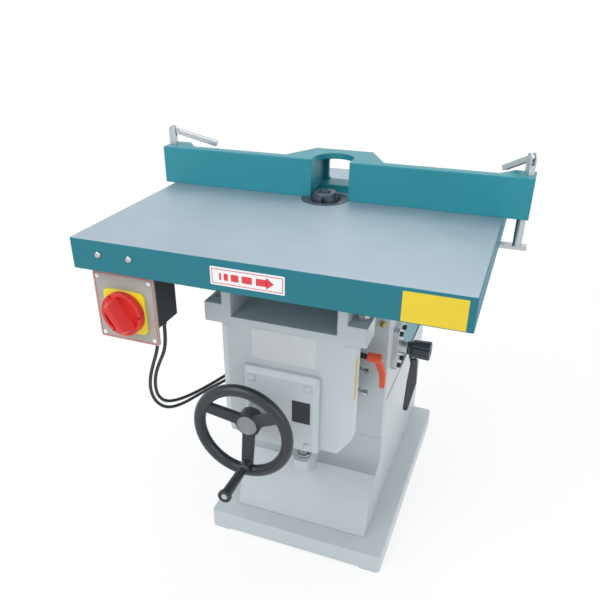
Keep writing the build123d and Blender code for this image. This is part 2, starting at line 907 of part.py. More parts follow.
# Levelling studs between the ears and the underside of the knee's top flange
def stud_places():
    x = flange_outer - bolt_edge
    y = (knee_face + block_back) / 2 + table_bolt_across / 2
    return [(-x, y), (x, y)]


def make_levelling_studs():
    low = ear_top - ear_height / 2
    studs = []
    for place in stud_places():
        studs.append(rod("z", stud_radius, low, apron_bottom - top_flange, place))
        nut = hexagon("z", stud_nut_across, ear_top, ear_top + stud_nut_height, place)
        studs.append(nut - rod("z", stud_radius + seat_fit, ear_top, ear_top + stud_nut_height, place))
    return studs


def knee_fastener_holes():
    holes = side_screw_holes()
    for place in table_bolt_places():
        holes += rod("z", table_bolt_radius + slide_fit, apron_bottom - top_flange, apron_bottom, place)
    for place in table_dowel_places():
        holes += rod("z", table_bolt_radius + seat_fit, apron_bottom - table_dowel_depth, apron_bottom, place)
    for x, z in cover_screw_places():
        holes += rod("y", screw_shank_radius + seat_fit, knee_face, knee_face + screw_grip, (x, z))
    for place in stud_places():
        holes += rod("z", stud_radius + seat_fit, ear_top - ear_height / 2, ear_top, place)
    return holes


# Switch box hung from the table's apron: housing with a tab, panel, plate and rotary handle
def apron_bolt_places():
    return [(panel_x + side * apron_bolt_pitch / 2, table_top - apron_bolt_drop) for side in (-1, 1)]


def box_span():
    return (-switch_left + box_inset, -switch_left + panel_width)


def gland_places():
    right = box_span()[1] - gland_inset
    y = panel_front + panel_thickness + box_depth - gland_inset
    return [(right - gland_pitch, y), (right, y)]


def make_switch_housing():
    back = panel_front + panel_thickness + box_depth
    body = block(box_span(), (panel_front + panel_thickness, back), (box_bottom, box_top))
    body = fillet(body.edges().filter_by(Axis.Y), box_edge)
    left, right = box_span()
    front = panel_front + panel_thickness
    hollow = block((left + box_wall, right - box_wall), (front, back - box_wall),
                   (box_bottom + box_wall, box_top - box_wall))
    for x, z in panel_screw_places():
        hollow -= rod("y", box_screw_post, front, back, (x, z))
    body -= hollow
    tab_x = (-switch_left + tab_inset, -switch_left + panel_width - tab_inset)
    tab_y = table_front + apron_wall
    tab_z = (box_top - box_wall, table_top - table_plate - tab_gap)
    body += block(tab_x, (tab_y, tab_y + tab_thickness), tab_z)
    for x, z in apron_bolt_places():
        body -= rod("y", screw_shank_radius + seat_fit, tab_y, tab_y + tab_thickness, (x, z))
    for x, y in gland_places():
        body -= rod("z", cable_radius + seat_fit, box_bottom, box_bottom + box_wall, (x, y))
    for x, z in panel_screw_places():
        body -= rod("y", panel_screw_radius / 2 + seat_fit, front, panel_front + 2 * panel_thickness, (x, z))
    return body


def panel_screw_places():
    x = panel_width / 2 - panel_screw_inset
    z = panel_height / 2 - panel_screw_inset
    return [(panel_x + sx * x, panel_z + sz * z) for sx in (-1, 1) for sz in (-1, 1)]


# Rounded plate standing across Y, its back on a given plane
def upright_plate(width, height, corner, thickness, x, z, back):
    return Pos(x, back, z) * Rot(90, 0, 0) * extrude(RectangleRounded(width, height, corner), thickness)


def make_switch_panel():
    panel = upright_plate(panel_width, panel_height, panel_corner, panel_thickness, panel_x, panel_z,
                          panel_front + panel_thickness)
    back = panel_front + panel_thickness
    for place in panel_screw_places():
        panel -= rod("y", panel_screw_radius / 2 + slide_fit, panel_front, back, place)
    return panel - rod("y", handle_stem_radius + slide_fit, panel_front, back, (panel_x, switch_z))


def make_switch_plate():
    plate = upright_plate(switch_plate_width, switch_plate_height, switch_plate_corner,
                          switch_plate_thickness, panel_x, switch_z, panel_front)
    plate = fillet(plate.faces().sort_by(Axis.Y)[0].edges(), edge_break)
    return plate - rod("y", handle_stem_radius + slide_fit, panel_front - switch_plate_thickness, panel_front,
                       (panel_x, switch_z))


# Rotary handle: dished disc with a raised rim, a tapered grip across it, lock holes and a stem
def make_switch_handle():
    top = handle_back - handle_base
    dish = handle_radius - handle_rim
    points = [(0, handle_back), (handle_radius, handle_back), (handle_radius, top - handle_rim_height),
              (dish, top - handle_rim_height), (dish, top), (0, top)]
    disc = turned("y", points, (panel_x, switch_z))
    rim = [edge for edge in disc.edges().filter_by(GeomType.CIRCLE) if edge.center().Y < top - edge_break]
    disc = fillet(rim, edge_break)
    foot = Rectangle(handle_bar_length, handle_bar_width)
    bar = extrude(foot, handle_bar_height, taper=handle_bar_taper)
    bar = fillet([edge for edge in bar.edges() if edge.center().Z > handle_bar_round], handle_bar_round)
    place = Pos(panel_x, top, switch_z) * Rot(90, 0, 0)
    disc += place * Rot(0, 0, handle_bar_angle) * bar
    hole = Pos(handle_radius - handle_rim / 2, 0, 0) * Cylinder(handle_hole_radius, 3 * handle_base)
    for index in range(handle_hole_count):
        disc -= place * Rot(0, 0, 360 * index / handle_hole_count) * hole
    stem_end = handle_back + handle_stem_length
    return disc + rod("y", handle_stem_radius, handle_back, stem_end, (panel_x, switch_z))


def make_panel_screws():
    return [face_screw(x, z, panel_front, panel_screw_radius, panel_screw_dome, panel_screw_radius / 2,
                       2 * panel_thickness)
            for x, z in panel_screw_places()]


def make_apron_bolts():
    return [face_screw(x, z, table_front, apron_bolt_radius, apron_bolt_head, screw_shank_radius,
                       apron_wall + tab_thickness)
            for x, z in apron_bolt_places()]


# Glands under the switch box and on the column's front, each with a hexagon and a tapered nose
def gland(axis, start, direction, across):
    middle = start + direction * gland_nut
    end = start + direction * gland_length
    nut = hexagon(axis, 2 * gland_radius, min(start, middle), max(start, middle), across)
    tip = cable_radius + gland_lip
    nose = turned(axis, [(0, middle), (gland_nose_radius, middle), (tip, end), (0, end)], across)
    bore = rod(axis, cable_radius + seat_fit, min(start, end), max(start, end), across)
    return nut + nose - bore


def make_box_glands():
    return [gland("z", box_bottom, -1, place) for place in gland_places()]


def column_gland_places():
    left = -half_pedestal + column_gland_side
    return [(left + gland_pitch, column_gland_z), (left, column_gland_z)]


def make_column_glands():
    return [gland("y", column_face, -1, place) for place in column_gland_places()]


# Cables: each runs from its box gland to its column gland, through both
def cable_points(route, index):
    x, y = gland_places()[index]
    end_x, end_z = column_gland_places()[index]
    end_y = column_face - gland_length
    first = [(x, y, cable_start), (x, y, cable_start - box_lead)]
    return first + route + [(end_x, end_y - column_lead, end_z), (end_x, end_y, end_z)]


def cable(points):
    runs = [Vector(*b) - Vector(*a) for a, b in zip(points, points[1:])]
    radii = []
    for before, after in zip(runs, runs[1:]):
        half_turn = math.radians(before.get_angle(after)) / 2
        radii.append(arc_share * min(before.length, after.length) / math.tan(half_turn))
    path = FilletPolyline(*points, radius=radii)
    tube = sweep(Plane(origin=path @ 0, z_dir=path % 0) * Circle(cable_radius), path=path)
    share = tube.volume / (math.pi * cable_radius ** 2 * path.length)
    print("cable length", round(path.length, 1), "volume share", round(share, 4))
    print("cable radii", [round(radius) for radius in radii])
    return tube


# Handwheel: round rim dished forward of its hub, three tapered spokes and a boss for the crank grip
def make_handwheel():
    centre = Pos(shaft_x, wheel_y, shaft_z)
    ring = wheel_radius - wheel_tube
    hub_back = wheel_y + hub_length / 2
    hub = rod("y", hub_radius, shaft_front, hub_back, (shaft_x, shaft_z))
    wheel = fillet(hub.edges().filter_by(GeomType.CIRCLE), edge_break)
    root = Pos(0, -spoke_forward, 0) * Rectangle(spoke_root, spoke_thickness)
    tip = Pos(0, -rim_dish, ring) * Rectangle(spoke_tip, spoke_thickness)
    spoke = loft([root, tip])
    long_edges = [edge for edge in spoke.edges() if edge.length > ring - spoke_root]
    spoke = fillet(long_edges, spoke_thickness / 4)
    for index in range(3):
        wheel += centre * Rot(0, 90 - spoke_first_angle - 120 * index, 0) * spoke
    seam = Rot(0, -(spoke_first_angle + 60), 0) * Rot(90, 0, 0)
    wheel += Pos(shaft_x, rim_y, shaft_z) * seam * Torus(ring, wheel_tube)
    boss = (crank_x, crank_z)
    wheel += rod("y", crank_boss_radius, crank_boss_front, crank_boss_back, boss)
    wheel -= rod("y", drive_shaft_radius + seat_fit, shaft_front, hub_back, (shaft_x, shaft_z))
    return wheel - rod("y", grip_axle_radius + seat_fit, crank_boss_front, wheel_y, boss)


# Axle of the grip: pressed into the boss, with a bright collar and a screw head sunk in the grip's end
def make_grip_axle():
    place = (crank_x, crank_z)
    head_back = grip_end + grip_recess - grip_gap
    axle = rod("y", grip_axle_radius, head_back, crank_boss_back, place)
    axle += rod("y", grip_collar_radius, grip_start + grip_gap, crank_boss_front, place)
    return axle + rod("y", grip_screw_radius, head_back - grip_screw_head, head_back, place)


def make_crank_grip():
    inner = grip_axle_radius + shaft_fit
    flange = grip_end + grip_flange
    flare = grip_end + grip_flare
    recess = grip_end + grip_recess
    points = [(inner, grip_start), (grip_root_radius, grip_start), (grip_waist_radius, flare),
              (grip_flange_radius, flange), (grip_flange_radius, grip_end), (grip_recess_radius, grip_end),
              (grip_recess_radius, recess), (inner, recess)]
    grip = turned("y", points, (crank_x, crank_z))
    rounds = grip.edges().filter_by(GeomType.CIRCLE)
    return fillet([edge for edge in rounds if edge.radius > grip_root_radius - seat_fit], edge_break)


# Fence: straight casting with a hollow hood at its middle and a lug at each end
def hood_plan():
    front = hood_front_width / 2
    back = hood_back_width / 2
    return [(mouth_shift - front, fence_thickness), (mouth_shift + front, fence_thickness),
            (mouth_shift + back, hood_back), (mouth_shift - back, hood_back)]


def clamp_axes():
    return [(left_clamp_x, clamp_setback), (right_clamp_x, clamp_setback)]


def make_fence():
    body = block((fence_left, fence_right), (0, fence_thickness), (table_top, fence_top))
    body += prism("z", hood_plan(), table_top, fence_top)
    for end, inward in ((fence_left, 1), (fence_right, -1)):
        plan = [(end, 0), (end + inward * lug_length, 0), (end + inward * lug_length, fence_thickness),
                (end + inward * lug_back_length, lug_depth), (end, lug_depth)]
        body += prism("z", plan, table_top, fence_top)
    rear = [edge for edge in upright_edges(body) if edge.center().Y > fence_thickness + edge_break]
    body = fillet(rear, 2 * fence_edge)
    body = chamfer(body.faces().sort_by(Axis.Z)[-1].edges(), fence_edge)
    half_room = hood_room_width / 2
    sill = table_top + hood_floor
    roof = fence_top - hood_roof
    room = (mouth_shift - half_room, mouth_shift + half_room)
    body -= block(room, (fence_thickness, hood_back - hood_wall), (sill, roof))
    half_mouth = mouth_width / 2
    mouth = (mouth_shift - half_mouth, mouth_shift + half_mouth)
    body -= block(mouth, (0, fence_thickness), (table_top, fence_top))
    body -= block(mouth, (0, arch_setback), (roof, fence_top))
    body -= rod("z", half_mouth, roof, fence_top, (mouth_shift, arch_setback))
    body -= block(mouth, (0, floor_cut), (table_top, sill))
    window_height = fence_height - hood_floor - window_roof
    window = upright_plate(window_width, window_height, window_corner, 3 * hood_wall, mouth_shift,
                           sill + window_height / 2, hood_back + hood_wall)
    body -= window
    for x, y in clamp_axes():
        body -= rod("z", clamp_rod_radius + slide_fit, table_top, fence_top - clamp_shoulder, (x, y))
        body -= rod("z", clamp_spigot_radius + slide_fit, table_top, fence_top, (x, y))
    return body


# Fence clamp: rod with a jaw under the table, a forked post on top and a folding lever
def make_clamp_rod(index, outward):
    x, y = clamp_axes()[index]
    inner = math.copysign(half_table - jaw_inner_overlap, x)
    jaw_top = apron_bottom - jaw_gap
    jaw_low = jaw_top - jaw_thickness
    jaw = block(sorted((inner, x + outward)), (y - jaw_width / 2, y + jaw_width / 2), (jaw_low, jaw_top))
    jaw = fillet(upright_edges(jaw), edge_break)
    shank = rod("z", clamp_rod_radius, jaw_low, fence_top - clamp_shoulder - edge_break, (x, y))
    spigot = rod("z", clamp_spigot_radius, jaw_low, fence_top + post_socket - edge_break, (x, y))
    return jaw + shank + spigot


def make_clamp_post(index, heading):
    x, y = clamp_axes()[index]
    half = post_width / 2
    side = make_face(Polyline((-half, 0), (half, 0), (half, post_height), (-half, post_height), close=True))
    post = extrude(Plane.XZ * side, post_depth / 2, both=True)
    post = fillet(post.edges().filter_by(Axis.Y).sort_by(Axis.Z)[-2:], post_round)
    pivot = post_height - clamp_pin_drop
    slot_y = (-post_slot / 2, post_slot / 2)
    post -= block((-half, half), slot_y, (pivot - post_slot_depth, post_height))
    post -= rod("y", clamp_pin_radius + shaft_fit, -post_depth, post_depth, (0, pivot))
    post -= rod("z", clamp_spigot_radius + shaft_fit, 0, post_socket)
    return Pos(x, y, fence_top) * Rot(0, 0, heading) * post


def make_clamp_lever(index, heading, droop):
    x, y = clamp_axes()[index]
    half = clamp_lever_height / 2
    width = clamp_lever_width / 2
    wall = clamp_lever_wall
    channel = block((clamp_lever_start, clamp_lever_length), (-width, width), (-half, half))
    channel = fillet(channel.edges().filter_by(Axis.X).sort_by(Axis.Z)[-2:], wall)
    hollow_x = (clamp_lever_start + wall, clamp_lever_length - wall)
    channel -= block(hollow_x, (wall - width, width - wall), (-half, half - wall))
    tongue = block((0, clamp_lever_start + wall), (-clamp_tongue / 2, clamp_tongue / 2), (-half, half))
    tongue += rod("y", half, -clamp_tongue / 2, clamp_tongue / 2)
    lever = channel + tongue + rod("y", clamp_pin_radius, -post_depth / 2, post_depth / 2)
    return Pos(x, y, fence_top + post_height - clamp_pin_drop) * Rot(0, 0, heading) * Rot(0, droop, 0) * lever


# Spindle cartridge, its bearings and the rotating spindle
def bearing_levels():
    return [housing_bottom + bearing_inset, housing_top - bearing_inset - bearing_width]


def make_spindle_housing():
    body = rod("z", housing_radius, housing_bottom, housing_top)
    body += rod("z", housing_flange_radius, column_top, column_top + housing_flange)
    body -= rod("z", housing_bore, housing_bottom, housing_top)
    for low in bearing_levels():
        body -= rod("z", bearing_radius + seat_fit, low, low + bearing_width)
    return body


def make_spindle_bearings():
    return [rod("z", bearing_radius, low, low + bearing_width)
            - rod("z", journal_radius + shaft_fit, low, low + bearing_width) for low in bearing_levels()]


def make_spindle_shaft():
    slinger_low = housing_top + slinger_gap
    slinger_high = slinger_low + slinger_height
    points = [(0, pulley_low - spindle_tail), (pulley_bore_radius, pulley_low - spindle_tail),
              (pulley_bore_radius, pulley_high), (journal_radius, pulley_high), (journal_radius, slinger_low),
              (slinger_radius, slinger_low), (slinger_radius, slinger_high), (shoulder_radius, slinger_high),
              (shoulder_radius, cutter_low), (arbor_radius, cutter_low), (arbor_radius, cutter_high),
              (arbor_thread_radius, cutter_high), (arbor_thread_radius, nut_high + arbor_proud),
              (0, nut_high + arbor_proud)]
    return turned("z", points)


def make_cutter_block():
    body = rod("z", cutter_radius, cutter_low, cutter_high)
    body -= rod("z", arbor_radius + seat_fit, cutter_low, cutter_high)
    middle = (cutter_low + cutter_high) / 2
    gullet = Pos(cutter_radius, gullet_width / 2, middle) * Box(2 * gullet_depth, gullet_width, cutter_height)
    reach = gullet_depth + knife_proud
    knife_centre = Pos(cutter_radius + knife_proud - reach / 2, -knife_width / 2, middle)
    knife = knife_centre * Box(reach, knife_width, cutter_height)
    for index in range(knife_count):
        turn = Rot(0, 0, 360 * index / knife_count)
        body = body - turn * gullet + turn * knife
    return body


def make_spindle_nut():
    nut = rod("z", nut_disc_radius, cutter_high, nut_high)
    nut = chamfer(nut.faces().sort_by(Axis.Z)[-1].edges(), edge_break)
    return nut - rod("z", arbor_thread_radius + seat_fit, cutter_high, nut_high)


# Flanged pulley about a vertical axis
def pulley(radius, bore, y):
    rim = radius + pulley_rim_height
    low = pulley_low + pulley_rim
    high = pulley_high - pulley_rim
    points = [(bore, pulley_low), (rim, pulley_low), (rim, low), (radius, low), (radius, high), (rim, high),
              (rim, pulley_high), (bore, pulley_high)]
    return Pos(0, y, 0) * turned("z", points)


# Belt: the outline round both pulleys, less the same outline one belt thickness further in
def belt_region(extra):
    small = spindle_pulley_radius + slide_fit + extra
    large = motor_pulley_radius + slide_fit + extra
    sine = (motor_pulley_radius - spindle_pulley_radius) / motor_setback
    cosine = math.sqrt(1 - sine ** 2)
    near = (small * cosine, -small * sine)
    far = (large * cosine, motor_setback - large * sine)
    near_left = (-near[0], near[1])
    far_left = (-far[0], far[1])
    edges = [Line(near, far), ThreePointArc(far, (0, motor_setback + large), far_left),
             Line(far_left, near_left), ThreePointArc(near_left, (0, -small), near)]
    return make_face(Curve() + edges)


def make_drive_belt():
    outline = belt_region(belt_thickness) - belt_region(0)
    return Pos(0, 0, belt_z - belt_width / 2) * extrude(outline, belt_width)


# Motor: finned body hung under a plate that slides on the pedestal's rails
def make_motor_body():
    low = plate_bottom - motor_length
    centre = Pos(0, motor_setback, (low + plate_bottom) / 2)
    body = rod("z", motor_radius, low, plate_bottom, (0, motor_setback))
    fin = Pos(motor_radius, 0, 0) * Box(2 * motor_fin_depth, motor_fin_width, motor_fin_length)
    for index in range(motor_fin_count):
        body += centre * Rot(0, 0, 360 * index / motor_fin_count) * fin
    shaft_end = plate_bottom - motor_shaft_depth
    return body - rod("z", motor_shaft_radius + shaft_fit, shaft_end, plate_bottom, (0, motor_setback))


def make_motor_shaft():
    low = plate_bottom - motor_shaft_depth + edge_break
    return rod("z", motor_shaft_radius, low, pulley_high + spindle_tail, (0, motor_setback))


def make_motor_plate():
    half = motor_plate_depth / 2
    front = motor_setback - half
    plate = block((-rail_outer, rail_outer), (front, motor_setback + half), (plate_bottom, plate_top))
    plate -= rod("z", motor_plate_hole, plate_bottom, plate_top, (0, motor_setback))
    slot_half = crank_pin_radius + yoke_play
    slot_top = pin_z + crank_pin_radius + yoke_slot_margin
    yoke_x = (yoke_middle - yoke_thickness / 2, yoke_middle + yoke_thickness / 2)
    end = tension_setback - slot_half - yoke_wall
    plate += block(yoke_x, (end, front), (plate_bottom, slot_top + yoke_wall))
    slot = block(yoke_x, (tension_setback - slot_half, tension_setback + slot_half),
                 (pin_z - crank_pin_radius - edge_break, slot_top))
    return plate - slot


def make_rear_cover():
    half = half_pedestal - rear_cover_inset
    sheet = rear_cover_sheet
    back = pedestal_rear - rear_cover_inset
    front = column_back + rear_cover_gap
    top = pulley_high + spindle_tail + rear_cover_head
    body = block((-half, half), (front, back), (rim_height, top))
    behind = [edge for edge in body.edges() if edge.center().Y > front + sheet]
    body = fillet([edge for edge in behind if edge.center().Z > rim_height + sheet], 2 * sheet)
    return body - block((-half + sheet, half - sheet), (front, back - sheet), (rim_height, top - sheet))


# Belt tension: bolted flange, shaft with a crank, hanging lever and lock knob
def make_tension_flange():
    place = (tension_setback, tension_z)
    outline = Plane.YZ * RectangleRounded(flange_width, flange_height, flange_corner)
    flange = Pos(half_pedestal, *place) * extrude(outline, flange_thickness, dir=(1, 0, 0))
    flange = fillet(flange.faces().sort_by(Axis.X)[-1].edges(), edge_break)
    flange += rod("x", tension_boss_radius, half_pedestal, lever_start - through_gap, place)
    flange -= rod("x", tension_shaft_radius + shaft_fit, half_pedestal, lever_start, place)
    for y, z in flange_screw_places():
        flange -= rod("x", flange_screw_shank + slide_fit, half_pedestal, lever_start, (y, z))
    return flange


def flange_screw_places():
    y = flange_screw_side
    z = flange_screw_rise
    return [(tension_setback + sy * y, tension_z + sz * z) for sy in (-1, 1) for sz in (-1, 1)]


def make_flange_screws():
    seat = half_pedestal + flange_thickness
    screws = []
    for place in flange_screw_places():
        top = seat + flange_screw_head
        head = rod("x", flange_screw_radius, seat, top, place)
        head -= hexagon("x", flange_screw_radius, seat + flange_screw_head / 2, top, place)
        screws.append(head + rod("x", flange_screw_shank, seat - flange_thickness - column_side, seat, place))
    return screws


def flange_screw_holes():
    holes = Part()
    for place in flange_screw_places():
        holes += rod("x", flange_screw_shank + seat_fit, half_pedestal - column_side, half_pedestal, place)
    return holes


def make_tension_shaft():
    place = (tension_setback, tension_z)
    shaft = rod("x", tension_shaft_radius, crank_face, lever_end, place)
    shaft += rod("x", knob_stud_radius, lever_end, lever_end + knob_stud_length, place)
    shaft += rod("x", crank_web_radius, crank_face, crank_face + crank_web, place)
    pin = rod("x", crank_pin_radius, crank_face - crank_pin_length, crank_face, (tension_setback, pin_z))
    return shaft + pin


# Hanging lever: an eye on the shaft and a flat moulded arm that stands out below the knob
def make_tension_lever():
    thick = tension_lever_thickness
    rounds = [(Pos(out, -drop) * Circle(radius)).edges()[0] for out, drop, radius in arm_stations]
    arm = extrude(Plane.XZ * make_hull(rounds), arm_depth / 2, both=True)
    faces = arm.faces().sort_by(Axis.Y)
    arm = fillet(faces[0].edges() + faces[-1].edges(), arm_edge)
    root_out, root_drop, root_radius = arm_stations[0]
    neck = [(0, 0), (thick, 0), (thick, -arm_neck_drop), (root_out, root_radius / 2 - root_drop),
            (root_out, -root_drop - root_radius), (root_out - root_radius, -root_drop - root_radius),
            (thick / 2, -arm_neck_drop)]
    half = arm_depth / 2
    bar = arm + prism("y", neck, arm_edge - half, half - arm_edge)
    eye = rod("x", tension_eye_radius, 0, thick)
    bar += fillet(eye.edges().filter_by(GeomType.CIRCLE), 2 * edge_break)
    bar -= rod("x", tension_shaft_radius + seat_fit, 0, thick)
    tip_out, tip_drop, tip_radius = arm_stations[-1]
    bar -= rod("y", arm_hole_radius, -half, half, (tip_out, tip_radius / 2 - tip_drop))
    return Pos(lever_start, tension_setback, tension_z) * bar


def make_tension_knob():
    start = lever_end + knob_gap
    end = start + knob_length
    place = (tension_setback, tension_z)
    knob = turned("x", [(0, start), (knob_root_radius, start), (knob_radius, end), (0, end)], place)
    knob = fillet(knob.edges().filter_by(GeomType.CIRCLE), 2 * edge_break)
    slope = (knob_radius - knob_root_radius) / knob_length
    reach = (knob_root_radius + knob_radius + knob_flute_radius) / 2
    for index in range(knob_flutes):
        turn = math.radians(360 * index / knob_flutes)
        side = math.cos(turn)
        rise = math.sin(turn)
        middle = ((start + end) / 2, tension_setback + reach * side, tension_z + reach * rise)
        flute = Plane(origin=middle, z_dir=(1, slope * side, slope * rise))
        knob -= flute * Cylinder(knob_flute_radius, 2 * knob_length)
    knob -= rod("x", knob_stud_radius + shaft_fit, start, lever_end + knob_stud_length + knob_gap, place)
    return knob - hexagon("x", knob_socket_across, end - knob_socket_depth, end, place)


def make_oil_cup():
    low = column_face
    points = [(0, low), (oil_cup_radius, low), (oil_cup_radius, low - oil_cup_seat),
              (oil_cup_neck_radius, low - oil_cup_neck), (oil_cup_neck_radius, low - oil_cup_lid),
              (oil_cup_tip_radius, low - oil_cup_length), (0, low - oil_cup_length)]
    return turned("y", points, (half_pedestal - oil_cup_side, rim_height + oil_cup_rise))


def save(name, *solids):
    shape = solids[0] if len(solids) == 1 else Compound(children=list(solids))
    shape.label = name
    export_step(shape, f"parts/{name}.step")


os.makedirs("parts", exist_ok=True)

# Frame
save("base_plate", make_base_plate())
save("pedestal_shell", make_pedestal_shell())
save("pedestal_apron", make_pedestal_apron())
save("column", make_column() - flange_screw_holes())
save("dovetail_way", make_dovetail_way())
save("lead_screw", make_lead_screw())
save("screw_bracket", make_screw_bracket())
save("spindle_housing", make_spindle_housing())
save("spindle_bearings", *make_spindle_bearings())
save("rear_cover", make_rear_cover())
save("tension_flange", make_tension_flange())
save("flange_screws", *make_flange_screws())
save("oil_cup", make_oil_cup())
save("column_glands", *make_column_glands())
save("drive_belt", make_drive_belt())

# Knee and what it carries
save("knee_casting", make_knee_casting() - knee_fastener_holes())
save("gear_cover", make_gear_cover())
save("cover_screws", *make_cover_screws())
save("shaft_bush", make_shaft_bush())
save("gib_strip", make_gib_strip())
save("gib_screws", *make_gib_screws())
save("table", make_table())
save("table_ring", make_table_ring())
save("table_bolts", *make_table_bolts())
save("levelling_studs", *make_levelling_studs())
save("switch_housing", make_switch_housing())
save("switch_panel", make_switch_panel())
save("switch_plate", make_switch_plate())
save("panel_screws", *make_panel_screws())
save("apron_bolts", *make_apron_bolts())
save("box_glands", *make_box_glands())
save("cable_left", cable(cable_points(left_cable_route, 0)))
save("cable_right", cable(cable_points(right_cable_route, 1)))

# Handwheel and lift
save("handwheel", make_handwheel())
save("drive_shaft", make_drive_shaft())
save("drive_pinion", make_drive_pinion())
save("grip_axle", make_grip_axle())
save("crank_grip", make_crank_grip())
save("lift_nut", make_lift_nut())

# Switch handle and knee lock
save("switch_handle", make_switch_handle())
save("lock_lever", make_lock_lever())
save("lock_stud", make_lock_stud())

# Fence and its clamps
save("fence", make_fence())
clamps = [
    ("left", -left_jaw_outer, left_lever_angle, left_droop_angle),
    ("right", right_jaw_outer, right_lever_angle, right_droop_angle),
]
for index, (side, outward, heading, droop) in enumerate(clamps):
    save(f"{side}_clamp_rod", make_clamp_rod(index, outward))
    save(f"{side}_clamp_post", make_clamp_post(index, heading))
    save(f"{side}_clamp_lever", make_clamp_lever(index, heading, droop))

# Spindle
save("spindle_shaft", make_spindle_shaft())
save("spindle_pulley", pulley(spindle_pulley_radius, pulley_bore_radius + seat_fit, 0))
save("cutter_block", make_cutter_block())
save("spindle_nut", make_spindle_nut())

# Motor and belt tension
save("motor_body", make_motor_body())
save("motor_plate", make_motor_plate())
save("motor_shaft", make_motor_shaft())
save("motor_pulley", pulley(motor_pulley_radius, motor_shaft_radius + seat_fit, motor_setback))
save("tension_shaft", make_tension_shaft())
save("tension_lever", make_tension_lever())
save("tension_knob", make_tension_knob())
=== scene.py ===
import math

import bpy
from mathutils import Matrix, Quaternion, Vector


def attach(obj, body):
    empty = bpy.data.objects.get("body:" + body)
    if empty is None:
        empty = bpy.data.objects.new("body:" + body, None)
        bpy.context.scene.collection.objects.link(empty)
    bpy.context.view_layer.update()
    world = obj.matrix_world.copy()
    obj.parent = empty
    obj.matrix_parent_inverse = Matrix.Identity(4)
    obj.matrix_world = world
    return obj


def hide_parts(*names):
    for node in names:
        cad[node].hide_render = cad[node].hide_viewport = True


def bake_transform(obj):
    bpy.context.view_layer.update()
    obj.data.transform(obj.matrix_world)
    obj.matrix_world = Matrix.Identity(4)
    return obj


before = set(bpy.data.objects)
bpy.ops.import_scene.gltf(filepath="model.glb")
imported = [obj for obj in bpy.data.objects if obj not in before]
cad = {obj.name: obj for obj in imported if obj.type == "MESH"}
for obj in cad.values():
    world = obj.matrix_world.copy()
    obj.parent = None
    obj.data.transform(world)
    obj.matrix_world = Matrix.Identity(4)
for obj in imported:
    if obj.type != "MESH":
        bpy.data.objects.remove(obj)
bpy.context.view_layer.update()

print("frame:", len(cad), "solids loaded")


# Camera, at the photograph's angle
cameraSettings = {
    "place": (0.4544, -1.4138, 1.3747),  # metres
    "azimuth": 22.0,  # degrees to the right of straight on
    "elevation": 29.17,  # degrees above the horizon
    "roll": -0.48,
    "lens": 38.87,
    "shift": (0.0333, 0.0667),
}


def addCamera(settings):
    azimuth = math.radians(settings["azimuth"])
    elevation = math.radians(settings["elevation"])
    level = math.cos(elevation)
    look = Vector((-math.sin(azimuth) * level, math.cos(azimuth) * level, -math.sin(elevation)))
    roll = Quaternion((0, 0, 1), math.radians(settings["roll"]))
    bpy.ops.object.camera_add(location=settings["place"])
    view = bpy.context.object
    view.rotation_mode = "QUATERNION"
    view.rotation_quaternion = look.to_track_quat("-Z", "Y") @ roll
    view.data.lens = settings["lens"]
    view.data.shift_x, view.data.shift_y = settings["shift"]
    bpy.context.scene.camera = view


addCamera(cameraSettings)
print("camera: in place")


# Materials
def hexColour(code):
    channels = [int(code[start:start + 2], 16) / 255 for start in (0, 2, 4)]
    linear = [value / 12.92 if value <= 0.04045 else ((value + 0.055) / 1.055) ** 2.4 for value in channels]
    return (*linear, 1.0)


def addNode(tree, kind, settings, links):
    node = tree.nodes.new(kind)
    for name, value in settings.items():
        if isinstance(name, int) or name in node.inputs:
            node.inputs[name].default_value = value
        else:
            setattr(node, name, value)
    for name, source in links.items():
        tree.links.new(source, node.inputs[name])
    return node


def startMaterial(name, settings):
    material = bpy.data.materials.new(name)
    material.use_nodes = True
    tree = material.node_tree
    tree.nodes.clear()
    surface = addNode(tree, "ShaderNodeBsdfPrincipled", settings, {})
    addNode(tree, "ShaderNodeOutputMaterial", {}, {"Surface": surface.outputs["BSDF"]})
    place = addNode(tree, "ShaderNodeTexCoord", {}, {}).outputs["Object"]
    return material, tree, surface, place


# The sockets of a mix node that carry colours
mixFirst, mixSecond, mixOut = 6, 7, 2


def mixColours(tree, share, look):
    mix = addNode(tree, "ShaderNodeMix", {"data_type": "RGBA"}, {"Factor": share})
    mix.inputs[mixFirst].default_value = hexColour(look["dark"])
    mix.inputs[mixSecond].default_value = hexColour(look["light"])
    return mix


# Two colours mixed by a noise of a real size, a little relief from a finer one, and edges worn round
def mottle(tree, surface, place, look):
    patch = addNode(tree, "ShaderNodeTexNoise",
                    {"Scale": 1 / look["patch"], "Detail": 4.0, "Roughness": 0.6}, {"Vector": place})
    colour = mixColours(tree, patch.outputs["Fac"], look)
    tree.links.new(colour.outputs[mixOut], surface.inputs["Base Color"])
    grain = addNode(tree, "ShaderNodeTexNoise", {"Scale": 1 / look["grain"], "Detail": 3.0},
                    {"Vector": place})
    gloss = addNode(tree, "ShaderNodeMapRange", {"To Min": look["gloss"][0], "To Max": look["gloss"][1]},
                    {"Value": patch.outputs["Fac"]})
    tree.links.new(gloss.outputs["Result"], surface.inputs["Roughness"])
    edges = addNode(tree, "ShaderNodeBevel", {"samples": 4, "Radius": look["round"]}, {})
    relief = addNode(tree, "ShaderNodeBump", {"Strength": look["relief"], "Distance": look["depth"]},
                     {"Height": grain.outputs["Fac"], "Normal": edges.outputs["Normal"]})
    tree.links.new(relief.outputs["Normal"], surface.inputs["Normal"])
    return colour


